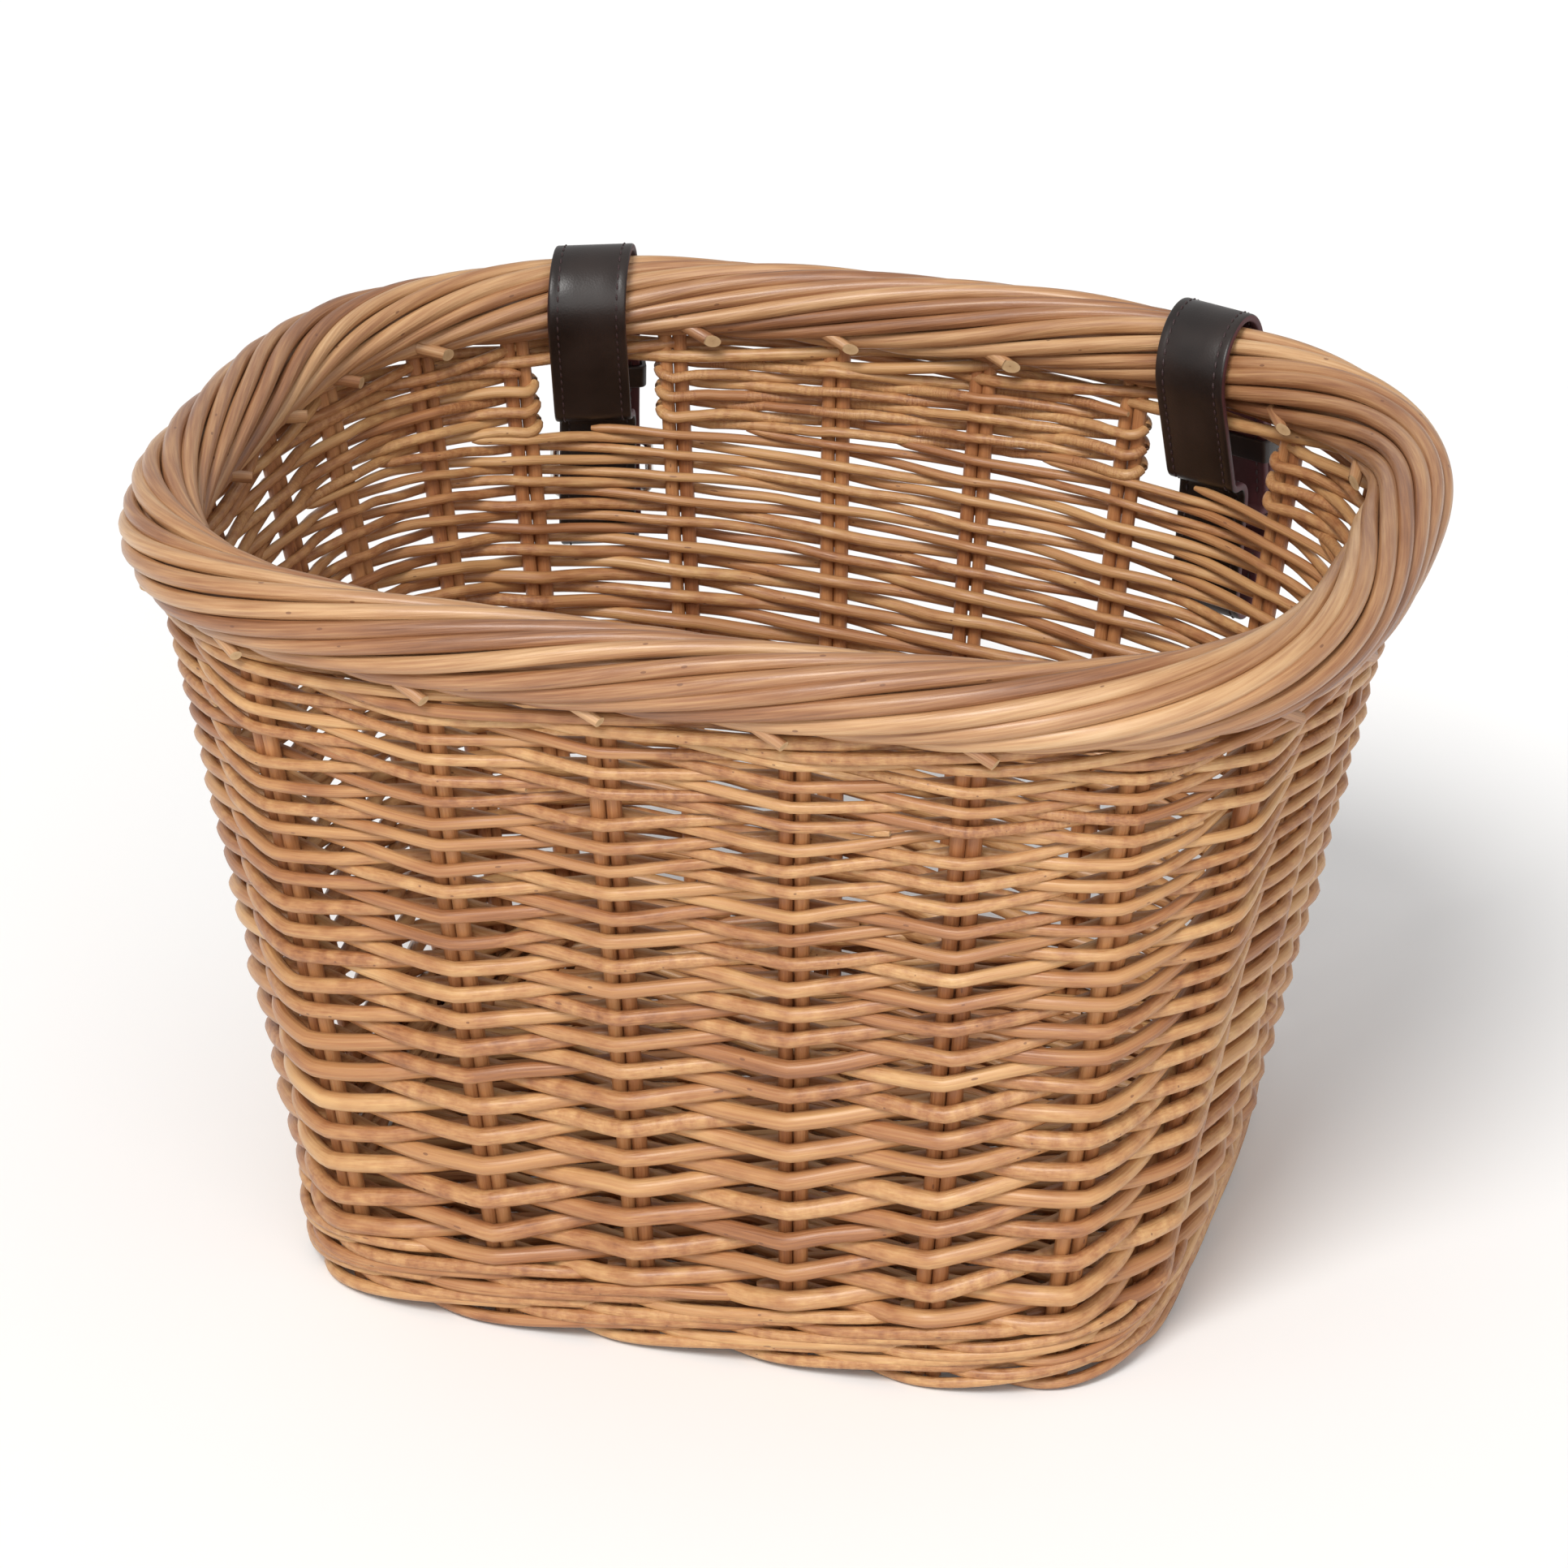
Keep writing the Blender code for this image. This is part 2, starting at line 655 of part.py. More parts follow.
def build():
    clear_scene()
    willow = material("willow", (0.58, 0.33, 0.15), 0.45, 0.0)
    pale_willow = material("willow_base", (0.55, 0.32, 0.16), 0.55, 0.0)
    leather = material("dark_leather", (0.045, 0.026, 0.022), 0.40, 0.0)
    steel = material("nickel_steel", (0.72, 0.71, 0.69), 0.25, 1.0)

    base(pale_willow)
    first_front = SLOT_AFTER[0] + 1
    front_count = SLOT_AFTER[1] - SLOT_AFTER[0]
    back_count = STAKE_COUNT - front_count
    wall_ring("foot_wale", 0, STAKE_COUNT, True, 0.0, FOOT_WALE_TOP, willow,
              floor=STAKE_FOOT - GAP)
    wall_ring("lower_siding", 0, STAKE_COUNT, True, FOOT_WALE_TOP + GAP,
              SLOT_BOTTOM, willow)
    wall_ring("upper_siding_wrap", first_front, front_count, False,
              SLOT_BOTTOM + GAP, SLOT_TOP - GAP, willow)
    wall_ring("upper_siding_back_panel", SLOT_AFTER[1] + 1, back_count, False,
              SLOT_BOTTOM + GAP, SLOT_TOP - GAP, willow)
    wall_ring("top_wale", 0, STAKE_COUNT, True, SLOT_TOP, TOP_WALE_TOP, willow)
    for index in range(STAKE_COUNT):
        stake_pair(index, willow)
    border(willow)
    strap_set("right", SLOT_AFTER[0], leather, steel)
    strap_set("left", SLOT_AFTER[1], leather, steel)
    bpy.context.view_layer.update()


build()
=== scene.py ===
"""Looks of the willow handlebar basket: every rod, strand, strap and stitch.

Metres, +Z up.  The plan, heights and strap measures are those of the part.
A place in the wall is given by its share of the way round (0 at mid back,
clockwise from above), its height, and its depth out from the wall's middle.
"""
import math

import bmesh
import bpy
import numpy as np
from mathutils import Matrix, Vector


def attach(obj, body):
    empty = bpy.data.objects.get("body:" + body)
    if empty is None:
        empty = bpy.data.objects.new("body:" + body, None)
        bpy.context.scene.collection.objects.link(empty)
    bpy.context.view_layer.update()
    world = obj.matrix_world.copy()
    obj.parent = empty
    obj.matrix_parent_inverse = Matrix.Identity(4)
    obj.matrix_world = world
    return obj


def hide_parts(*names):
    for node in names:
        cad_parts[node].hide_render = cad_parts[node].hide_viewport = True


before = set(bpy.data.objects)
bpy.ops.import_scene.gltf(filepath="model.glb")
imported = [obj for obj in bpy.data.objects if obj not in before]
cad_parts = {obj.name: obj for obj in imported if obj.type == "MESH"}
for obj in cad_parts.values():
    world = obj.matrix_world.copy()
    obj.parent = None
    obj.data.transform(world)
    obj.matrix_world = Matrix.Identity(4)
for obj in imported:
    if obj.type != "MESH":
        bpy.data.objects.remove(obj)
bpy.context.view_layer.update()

TURN = 2 * math.pi
UP = (0, 0, 1)

# ---- the basket's plan and layers, as in the part ----------------------------
RIM_PLAN = dict(half_width=0.186, back=0.1357, n_back=2.45, front=0.1678, n_front=3.5)
FOOT_PLAN = dict(half_width=0.133, back=0.112, n_back=3.5, front=0.1335, n_front=6.0)
WIDEST_Y = 0.0117
RIM_HEIGHT = 0.2434
FOOT_WALE_TOP = 0.0240
SLOT_BOTTOM = 0.1985
SLOT_TOP = 0.2228
SLOT_AFTER = (1, 19)
STAKES = np.array([0.0210, 0.0685, 0.1240, 0.1665, 0.2085, 0.2505, 0.2925, 0.3345,
                   0.3745, 0.4175, 0.4635, 0.5155, 0.5640, 0.6185, 0.6710, 0.7225,
                   0.7725, 0.8100, 0.8480, 0.8785, 0.9260, 0.9755])
STAKE_COUNT = len(STAKES)

# ---- rods ----------------------------------------------------------------------
ROD_SIDES = 10
STEPS_PER_STAKE = 14
STAKE_RADIUS = 0.0024
STAKE_BESIDE = 0.0024
STAKE_FOOT = 0.003
STAKE_HEAD = 0.237

# The main weave is laid in layers; a layer is one rod's way from stake to stake.
FIRST_LAYER = -1.25
LOWEST_LAYER = -0.25
LAYER_COUNT = 35.6
LAYER_STEPS = 16
LAYER_SPAN = 0.4044
LAYER_RATE = 0.01558
LAYER_LIFT = 0.0028
WEAVER_HEIGHTS = (0.024, 0.09, 0.14, 0.17, 0.20)
WEAVER_RADII = (0.00305, 0.00280, 0.00235, 0.00200, 0.00175)
WEAVER_GAP = 0.0001
KINK = 0.996            # how sharply a rod bends at a stake, under 1
DIP = 0.0021            # how far it dips over the front of a stake
BACK_DIP = 0.45         # the dip and thickness at mid back, as shares of mid front's
BACK_THICKNESS = 0.90
# Unevenness as (waves over the length, size), in the measure's own unit.
WEAVER_UNEVEN = dict(along=(30, 0.03), height=(38, 0.0008), size=(9, 0.07),
                     depth=(60, 0.0004), tone=(5, 0.55))

# Thin rods to and fro beside the strap slots.
THIN_ROWS = 7
THIN_DIP = 0.0015
THIN_RADIUS = 0.00185
THIN_UNEVEN = dict(height=(12, 0.0004), size=(20, 0.10), tone=(24, 0.8))
LOOP_STEPS = 10
LOOP_LOOSENESS = 0.15

WALE_STRANDS = 3
WALE_CYCLES = 7
WALE_RADIUS = 0.0020
WALE_FLATNESS = 1.7
WALE_LEAD = 0.35
TOP_WALE_Z = 0.2262
FOOT_WALE_ROWS = (0.0062, 0.0110, 0.0158, 0.0206)
FOOT_WALE_STAGGER = 0.43

BORDER_STRANDS = 40
BORDER_TURNS = 3.3
STRAND_RADIUS = 0.00288
STRAND_RING = 0.0108
STRAND_STEPS = 96
STRAND_SWEEP = math.radians(184)
DIVE_FROM = 0.80
DIVE_DEPTH = 0.0042
CORE_RADIUS = 0.0086

# A cut end's start and finish, each as (slide along the rim, depth, height).
RIGHT_NIP = ((0.005, 0.0076, 0.2345), (-0.0056, 0.0094, 0.2290))
RIGHT_NIP_CHANCE = 0.75
LEFT_NIP = ((-0.016, 0.0080, 0.2345), (-0.0060, 0.0096, 0.2288))
LEFT_NIP_CHANCE = 0.25
INNER_NIP = ((-0.011, -0.0085, 0.2375), (-0.0010, -0.0120, 0.2338))

STICK_GAP = 0.046
STICK_XS = STICK_GAP * np.arange(-2, 3)
STICK_RADIUS = 0.0030
BASE_Z = 0.0066
BASE_INSET = 0.0045
BASE_MARGIN = 0.0035
BASE_PITCH = 0.00405
BASE_SWING = 0.0046
BASE_WEAVER_RADIUS = 0.0018

# ---- straps and buckles, as in the part -----------------------------------------
STRAP_HALF_WIDTH = 0.0130
STRAP_HALF_THICK = 0.0013
STRAP_STEP = 0.0008
BORDER_BEND = 0.0170
BORDER_BEND_Y = -0.0003
INNER_TURN = 200
SLOT_DIP = 8
SLOT_BEND_IN = 0.0050
SLOT_IN_Y = 0.0005
SLOT_IN_Z = 0.2062
SLOT_BEND_OUT = 0.0055
SLOT_OUT_Y = 0.0025
SLOT_OUT_Z = 0.1953
HANG_Y = 0.0040
HANG_Z = 0.1600
TAIL_LOW_Y = 0.0212
TAIL_ENTRY_Z = 0.1655
BAR_Y = 0.0245
BAR_Z = 0.1820
FIXED_BEND_Y = 0.0205
FIXED_BEND_Z = 0.2260
FIXED_STRAIGHT_Z = 0.1920
FIXED_SLOPE = (FIXED_BEND_Y - BAR_Y) / (FIXED_BEND_Z - FIXED_STRAIGHT_Z)
TAIL_OVER_Y = 0.0310
TAIL_OVER_Z = 0.1815
TAIL_LAP = 0.0032
TAIL_LAP_Z = 0.1965
TAIL_TIP_Z = 0.2215
TAIL_TIP = 0.0085
SEAT_SLIDE = {"left": 0.0056, "right": -0.0100}
WIND = {"left": 0.22, "right": -0.20}
WIND_IN_Y = -0.0175
WIND_OUT_Y = 0.0200
EYE_RADIUS = 0.0042
FRAME_HALF_WIDTH = 0.0163
FRAME_DROP = 0.0185
FRAME_CORNER = 0.0030
WIRE_RADIUS = 0.0015
PRONG_RISE = 0.001015
PRONG_SLOT_HALF = 0.0052
KEEPER_Z = 0.2075
KEEPER_GAP = 0.0004
KEEPER_HALF_THICK = 0.0009
KEEPER_HALF_TALL = 0.0040

# Rounded edges, stitch grooves and stitches, which only the looks have.
EDGE_CORNER = 0.0008
GROOVE_X = 0.0098
GROOVE_HALF = 0.0008
GROOVE_DEPTH = 0.00022
STITCH_PITCH = 0.0033
STITCH_HALF = 0.00115
STITCH_RADIUS = 0.00036
STITCH_SLANT = 0.00012
STITCH_SINK = 0.00012

rng = np.random.default_rng(11)


# ---- the wall ----------------------------------------------------------------------
def plan_loop(half_width, back, n_back, front, n_front):
    """Two half ovals |x/a|^n + |y/b|^n = 1 joined at the sides, by equal steps of angle.

    Returns the share of the loop's length at each point, and the points.
    """
    angle = np.linspace(0.0, TURN, 4001)
    sine, cosine = np.sin(angle), np.cos(angle)
    power = np.where(cosine >= 0, 2 / n_back, 2 / n_front)
    reach = np.where(cosine >= 0, back, front)
    x = half_width * np.sign(sine) * np.abs(sine) ** power
    y = reach * np.sign(cosine) * np.abs(cosine) ** power + WIDEST_Y
    steps = np.hypot(np.diff(x), np.diff(y))
    return np.concatenate([[0.0], np.cumsum(steps)]) / steps.sum(), x, y


RIM_LOOP = plan_loop(**RIM_PLAN)
FOOT_LOOP = plan_loop(**FOOT_PLAN)


def loop_point(loop, share):
    table, x, y = loop
    share = np.mod(share, 1.0)
    return np.stack([np.interp(share, table, x), np.interp(share, table, y)], -1)


def wall_middle(share, z):
    """Straight line from foot loop to rim loop at equal shares, at height z."""
    foot, rim = loop_point(FOOT_LOOP, share), loop_point(RIM_LOOP, share)
    return foot + (rim - foot) * (np.asarray(z) / RIM_HEIGHT)[..., None]


def wall_along(share, z):
    """Unit vector along the wall, from the difference of two near points."""
    step = 2e-3
    along = wall_middle(share + step, z) - wall_middle(share - step, z)
    return along / np.linalg.norm(along, axis=-1, keepdims=True)


def wall_out(share, z):
    """Level unit vector out of the wall: the along vector turned a quarter left."""
    along = wall_along(share, z)
    zero = np.zeros(along.shape[:-1] + (1,))
    return np.concatenate([-along[..., 1:], along[..., :1], zero], -1)


def wall_place(share, z, depth, slide=0.0):
    """Wall middle plus depth outwards and slide along, as points in space."""
    share, z = np.broadcast_arrays(np.asarray(share, float), np.asarray(z, float))
    flat = np.concatenate([wall_middle(share, z), z[..., None]], -1)
    out = wall_out(share, z)
    along = np.stack([out[..., 1], -out[..., 0], np.zeros_like(z)], -1)
    depth = np.broadcast_to(depth, z.shape)[..., None]
    return flat + depth * out + np.broadcast_to(slide, z.shape)[..., None] * along


STAKE_EXTENDED = np.concatenate([STAKES - 1, STAKES, STAKES + 1, STAKES + 2])


def share_at(stake):
    """Share of the way round at a stake number, whole or between two stakes."""
    turns = np.floor(np.asarray(stake) / STAKE_COUNT)
    inside = stake - turns * STAKE_COUNT
    numbers = np.arange(len(STAKE_EXTENDED)) - STAKE_COUNT
    return np.interp(inside, numbers, STAKE_EXTENDED)


# ---- swept shapes --------------------------------------------------------------------
def unit(v):
    return v / np.linalg.norm(v, axis=-1, keepdims=True)


def way_along(path, closed=False):
    """Unit tangents of a path by central differences."""
    if closed:
        return unit(np.roll(path, -1, 0) - np.roll(path, 1, 0))
    return unit(np.gradient(path, axis=0))


def distance_along(path, closed=False):
    steps = np.linalg.norm(np.diff(path, axis=0), axis=1)
    run = np.concatenate([[0.0], np.cumsum(steps)])
    if closed:
        run = np.append(run, run[-1] + np.linalg.norm(path[0] - path[-1]))
    return run


def wobble(count, waves, size):
    """Sum of slow sine waves with random phases, about `waves` over the length."""
    at = np.linspace(0.0, 1.0, count)
    total = np.zeros(count)
    spacing = 0.37
    for k in range(1, 5):
        phase = rng.uniform(0, TURN)
        total += np.sin(TURN * at * waves * k * spacing + phase) / k
    return total * size / 2


def rod(path, radius, facing, sides=ROD_SIDES, closed=False, tone=None, caps=(1, 1)):
    """A circle of the radius carried along the path.

    Point = path + radius (cos a * n + sin a * b), with b square to the path and
    to `facing`, and n square to both, so the seam a = pi lies away from `facing`.
    """
    path = np.asarray(path, float)
    ahead = way_along(path, closed)
    side = unit(np.cross(ahead, np.broadcast_to(facing, path.shape)))
    face = np.cross(side, ahead)
    angle = math.pi + TURN * np.arange(sides) / sides
    radius = np.broadcast_to(radius, len(path))[:, None, None]
    ring = np.cos(angle)[None, :, None] * face[:, None]
    ring = ring + np.sin(angle)[None, :, None] * side[:, None]
    run = distance_along(path, closed) + rng.uniform(0, 3)
    if tone is None:
        tone = rng.uniform(0, 1)
    return dict(points=path[:, None] + radius * ring, run=run, closed=closed, tone=tone, caps=caps)


def round_off(count, radius, ends=4):
    """Radius that closes in as a quarter circle over the last few sections."""
    size = np.array(np.broadcast_to(radius, count), float)
    shrink = np.sqrt(1 - (1 - np.linspace(0.15, 1.0, ends)) ** 2)
    size[:ends] *= shrink
    size[-ends:] *= shrink[::-1]
    return size


def grid_cells(part):
    """Quads of a part's grid, and their UVs: the run along, the share of a turn across."""
    run = part["run"]
    rows, columns = part["points"].shape[:2]
    count = rows if part["closed"] else rows - 1
    i = np.arange(count)[:, None]
    j = np.arange(columns)[None]
    near, far = i * columns, (i + 1) % rows * columns
    right = (j + 1) % columns
    cells = np.stack([near + j, near + right, far + right, far + j], -1)
    low, high = run[:count, None], run[1:count + 1, None]
    here, there = j / columns, (j + 1) / columns
    corners = [(low, here), (low, there), (high, there), (high, here)]
    both = [np.stack(np.broadcast_arrays(a, b), -1) for a, b in corners]
    return cells.reshape(-1, 4), np.stack(both, 2).reshape(-1, 2)


def end_caps(part):
    """The polygons that close a part's two ends, and a disc of UVs for each."""
    rows, columns = part["points"].shape[:2]
    ring = np.arange(columns)
    turn = TURN * ring / columns
    disc = np.stack([np.cos(turn), np.sin(turn)], -1) * 0.5
    return [ring[::-1], ring + (rows - 1) * columns], [disc[::-1], disc]


def swept_mesh(name, parts):
    """One mesh from grids of points, rows along and columns round each part.

    The sides come first and have the first material; an end cap has the one
    that its part's `caps` names.
    """
    verts, tones, quads, quad_uv = [], [], [], []
    caps, cap_uv, cap_slots = [], [], []
    offset = 0
    for part in parts:
        cells, uv = grid_cells(part)
        quads.append(cells + offset)
        quad_uv.append(uv)
        if not part["closed"]:
            ends, discs = end_caps(part)
            caps += [end + offset for end in ends]
            cap_uv += discs
            cap_slots += part["caps"]
        verts.append(part["points"].reshape(-1, 3))
        tones.append(np.broadcast_to(part["tone"], len(verts[-1])))
        offset += len(verts[-1])
    quads = np.concatenate(quads)
    loops = np.concatenate([quads.ravel()] + caps)
    sizes = np.array([4] * len(quads) + [len(cap) for cap in caps])
    starts = np.concatenate([[0], np.cumsum(sizes)[:-1]])
    slots = np.array([0] * len(quads) + cap_slots)
    mesh = bpy.data.meshes.new(name)
    mesh.vertices.add(offset)
    mesh.vertices.foreach_set("co", np.concatenate(verts).astype(np.float32).ravel())
    mesh.loops.add(len(loops))
    mesh.loops.foreach_set("vertex_index", loops.astype(np.int32))
    mesh.polygons.add(len(sizes))
    mesh.polygons.foreach_set("loop_start", starts.astype(np.int32))
    mesh.polygons.foreach_set("material_index", slots.astype(np.int32))
    mesh.update(calc_edges=True)
    layer = mesh.uv_layers.new(name="lay")
    uv = np.concatenate(quad_uv + cap_uv)
    layer.data.foreach_set("uv", uv.astype(np.float32).ravel())
    tone = mesh.attributes.new("tone", "FLOAT", "POINT")
    tone.data.foreach_set("value", np.concatenate(tones).astype(np.float32))
    return mesh


def swept_object(name, parts, materials, body, replaced=(), sharp=45):
    """The parts as one smooth-shaded object on a body, in place of CAD nodes."""
    mesh = swept_mesh(name, parts)
    mesh.shade_smooth()
    mesh.set_sharp_from_angle(angle=math.radians(sharp))
    obj = bpy.data.objects.new(name, mesh)
    bpy.context.collection.objects.link(obj)
    for mat in materials:
        mesh.materials.append(mat)
    if body:
        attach(obj, body)
    if replaced:
        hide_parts(*replaced)
    return obj


# ---- materials -------------------------------------------------------------------------
# A willow's colour level is the sum of these shares of the rod's own tone, of its
# blotches and of its streaks, less the drop.
TONE_SHARE = 0.36
BLOTCH_SHARE = 0.75
STREAK_SHARE = 0.60
LEVEL_DROP = 0.37
SCAR_BROWN = (0.15, 0.055, 0.025)


def add(tree, kind, values=(), links=(), **settings):
    """A node with its settings, its sockets' values and the links into them."""
    node = tree.nodes.new(kind)
    for key, value in settings.items():
        setattr(node, key, value)
    for socket, value in dict(values).items():
        node.inputs[socket].default_value = value
    for socket, source in dict(links).items():
        tree.links.new(source, node.inputs[socket])
    return node


def maths(tree, operation, a, b=None, c=None):
    """A Math node; each of a, b and c is a number or a socket to link."""
    node = tree.nodes.new("ShaderNodeMath")
    node.operation = operation
    for socket, value in zip(node.inputs, (a, b, c)):
        if value is None:
            continue
        if isinstance(value, (int, float)):
            socket.default_value = value
        else:
            tree.links.new(value, socket)
    return node.outputs[0]


def ramp(tree, factor, stops):
    """A colour ramp of (place, colour) stops, read at the factor."""
    node = tree.nodes.new("ShaderNodeValToRGB")
    elements = node.color_ramp.elements
    while len(elements) < len(stops):
        elements.new(0.5)
    for element, (at, colour) in zip(elements, stops):
        element.position = at
        element.color = (*colour, 1.0)
    tree.links.new(factor, node.inputs["Fac"])
    return node.outputs["Color"]


def painted_over(tree, mask, under, colour):
    """The linked colour `under` with a plain colour over it where the mask is 1."""
    node = tree.nodes.new("ShaderNodeMix")
    node.data_type = "RGBA"
    live = {socket.name: socket for socket in node.inputs if socket.enabled}
    tree.links.new(mask, live["Factor"])
    tree.links.new(under, live["A"])
    live["B"].default_value = (*colour, 1.0)
    return next(socket for socket in node.outputs if socket.enabled)


def new_group(name, inputs, outputs):
    """A node group of plain float sockets, with its input and output nodes."""
    group = bpy.data.node_groups.new(name, "ShaderNodeTree")
    for label in inputs:
        group.interface.new_socket(name=label, in_out="INPUT", socket_type="NodeSocketFloat")
    for label in outputs:
        group.interface.new_socket(name=label, in_out="OUTPUT", socket_type="NodeSocketFloat")
    return group, group.nodes.new("NodeGroupInput"), group.nodes.new("NodeGroupOutput")


def rod_grain_group():
    """Grain of a peeled rod from its length, its turn and its own random number.

    The turn becomes a circle (cos, sin), so no pattern shows a seam.  Long slow
    noise gives blotches, noise stretched along gives streaks, and the few
    cells of a cell pattern with a high random value give leaf scars.
    """
    group, given, result = new_group(
        "rod_grain", ("Along", "Around", "Tone"), ("Blotch", "Streak", "Scar", "Height"))
    along, around, tone = (given.outputs[k] for k in ("Along", "Around", "Tone"))
    turn = maths(group, "MULTIPLY", around, TURN)
    across = maths(group, "COSINE", turn)
    upright = maths(group, "SINE", turn)
    rod_shift = maths(group, "MULTIPLY", tone, 61.0)

    def lengthways(per_metre, round_size):
        x = maths(group, "MULTIPLY_ADD", along, per_metre, rod_shift)
        y = maths(group, "MULTIPLY", across, round_size)
        z = maths(group, "MULTIPLY", upright, round_size)
        return add(group, "ShaderNodeCombineXYZ", links=dict(X=x, Y=y, Z=z)).outputs[0]

    blotch = add(group, "ShaderNodeTexNoise", dict(Scale=1.0, Detail=3.0, Roughness=0.55),
                 dict(Vector=lengthways(17.0, 0.5)))
    streak = add(group, "ShaderNodeTexNoise", dict(Scale=1.0, Detail=4.0, Roughness=0.6),
                 dict(Vector=lengthways(42.0, 3.4)))
    cells = add(group, "ShaderNodeTexVoronoi", dict(Scale=1.0),
                dict(Vector=lengthways(170.0, 1.1)))
    chosen = maths(group, "GREATER_THAN", cells.outputs["Color"], 0.86)
    near = maths(group, "LESS_THAN", cells.outputs["Distance"], 0.16)
    scar = maths(group, "MULTIPLY", chosen, near)
    height = maths(group, "SUBTRACT", streak.outputs["Fac"], maths(group, "MULTIPLY", scar, 0.5))
    for label, source in (("Blotch", blotch.outputs["Fac"]), ("Streak", streak.outputs["Fac"]),
                          ("Scar", scar), ("Height", height)):
        group.links.new(source, result.inputs[label])
    return group


def surface(name):
    """A new material, its node tree and its shader."""
    mat = bpy.data.materials.new(name)
    mat.use_nodes = True
    tree = mat.node_tree
    return mat, tree, tree.nodes["Principled BSDF"]


def willow(name, grain, stops, rough, coat):
    """Varnished peeled willow: tone by rod, blotches, streaks and leaf scars."""
    mat, tree, shader = surface(name)
    uv = add(tree, "ShaderNodeUVMap", uv_map="lay")
    parts = add(tree, "ShaderNodeSeparateXYZ", links=dict(Vector=uv.outputs[0]))
    own = add(tree, "ShaderNodeAttribute", attribute_name="tone")
    detail = add(tree, "ShaderNodeGroup", node_tree=grain)
    tree.links.new(parts.outputs["X"], detail.inputs["Along"])
    tree.links.new(parts.outputs["Y"], detail.inputs["Around"])
    tree.links.new(own.outputs["Fac"], detail.inputs["Tone"])
    level = maths(tree, "MULTIPLY_ADD", own.outputs["Fac"], TONE_SHARE, -LEVEL_DROP)
    level = maths(tree, "MULTIPLY_ADD", detail.outputs["Blotch"], BLOTCH_SHARE, level)
    level = maths(tree, "MULTIPLY_ADD", detail.outputs["Streak"], STREAK_SHARE, level)
    colour = ramp(tree, level, stops)
    scarred = maths(tree, "MULTIPLY", detail.outputs["Scar"], 0.7)
    colour = painted_over(tree, scarred, colour, SCAR_BROWN)
    tree.links.new(colour, shader.inputs["Base Color"])
    low, high = rough
    gloss = maths(tree, "MULTIPLY_ADD", detail.outputs["Streak"], high - low, low)
    tree.links.new(gloss, shader.inputs["Roughness"])
    shader.inputs["Coat Weight"].default_value = coat
    shader.inputs["Coat Roughness"].default_value = 0.27
    bump = add(tree, "ShaderNodeBump", dict(Strength=0.5, Distance=0.0008),
               dict(Height=detail.outputs["Height"]))
    tree.links.new(bump.outputs[0], shader.inputs["Normal"])
    return mat


def cut_wood():
    """Pale cut end of a rod: rings round the pith, from the distance to the middle."""
    mat, tree, shader = surface("cut_rod_end")
    uv = add(tree, "ShaderNodeUVMap", uv_map="lay")
    length = add(tree, "ShaderNodeVectorMath", links={0: uv.outputs[0]}, operation="LENGTH")
    rough = add(tree, "ShaderNodeTexNoise", dict(Scale=900.0, Detail=3.0),
                dict(Vector=add(tree, "ShaderNodeTexCoord").outputs["Object"]))
    rings = maths(tree, "MULTIPLY_ADD", rough.outputs["Fac"], 0.5, length.outputs["Value"])
    colour = ramp(tree, rings, ((0.15, (0.26, 0.13, 0.055)), (0.3, (0.48, 0.31, 0.16)),
                                (0.75, (0.57, 0.39, 0.21)), (0.95, (0.34, 0.18, 0.08))))
    tree.links.new(colour, shader.inputs["Base Color"])
    shader.inputs["Roughness"].default_value = 0.75
    return mat


def pebble_group():
    """Fine hide grain: small cells for pores over soft noise for creases."""
    group, given, result = new_group("hide_grain", ("Size",), ("Height", "Worn"))
    place = add(group, "ShaderNodeTexCoord").outputs["Object"]
    pores = add(group, "ShaderNodeTexVoronoi",
                links=dict(Vector=place, Scale=given.outputs["Size"]))
    creases = add(group, "ShaderNodeTexNoise", dict(Scale=140.0, Detail=5.0, Roughness=0.6),
                  dict(Vector=place))
    worn = add(group, "ShaderNodeTexNoise", dict(Scale=38.0, Detail=4.0), dict(Vector=place))
    height = maths(group, "MULTIPLY_ADD", pores.outputs["Distance"], 0.5, creases.outputs["Fac"])
    group.links.new(height, result.inputs["Height"])
    group.links.new(worn.outputs["Fac"], result.inputs["Worn"])
    return group


def leather(name, hide, dark, light, rough, size, depth):
    """Hide from dark to light where it is worn, with pores `size` to the metre."""
    mat, tree, shader = surface(name)
    grain = add(tree, "ShaderNodeGroup", node_tree=hide)
    grain.inputs["Size"].default_value = size
    colour = ramp(tree, grain.outputs["Worn"], ((0.35, dark), (0.75, light)))
    tree.links.new(colour, shader.inputs["Base Color"])
    gloss = maths(tree, "MULTIPLY_ADD", grain.outputs["Worn"], 0.22, rough)
    tree.links.new(gloss, shader.inputs["Roughness"])
    bump = add(tree, "ShaderNodeBump", dict(Strength=0.35, Distance=depth),
               dict(Height=grain.outputs["Height"]))
    tree.links.new(bump.outputs[0], shader.inputs["Normal"])
    return mat


def waxed_thread(name, colour):
    """Twisted thread: slanted bands by length and turn along each stitch; the dark bands are
    painted shade.
    """
    mat, tree, shader = surface(name)
    uv = add(tree, "ShaderNodeUVMap", uv_map="lay")
    parts = add(tree, "ShaderNodeSeparateXYZ", links=dict(Vector=uv.outputs[0]))
    slant = maths(tree, "MULTIPLY_ADD", parts.outputs["X"], 1600.0, parts.outputs["Y"])
    band = maths(tree, "SINE", maths(tree, "MULTIPLY", slant, TURN))
    # Painted shade: the thread's own colour darkened, for the grooves between the twisted plies.
    dark = tuple(c * 0.45 for c in colour)
    tree.links.new(ramp(tree, band, ((0.0, dark), (0.8, colour))), shader.inputs["Base Color"])
    shader.inputs["Roughness"].default_value = 0.6
    return mat


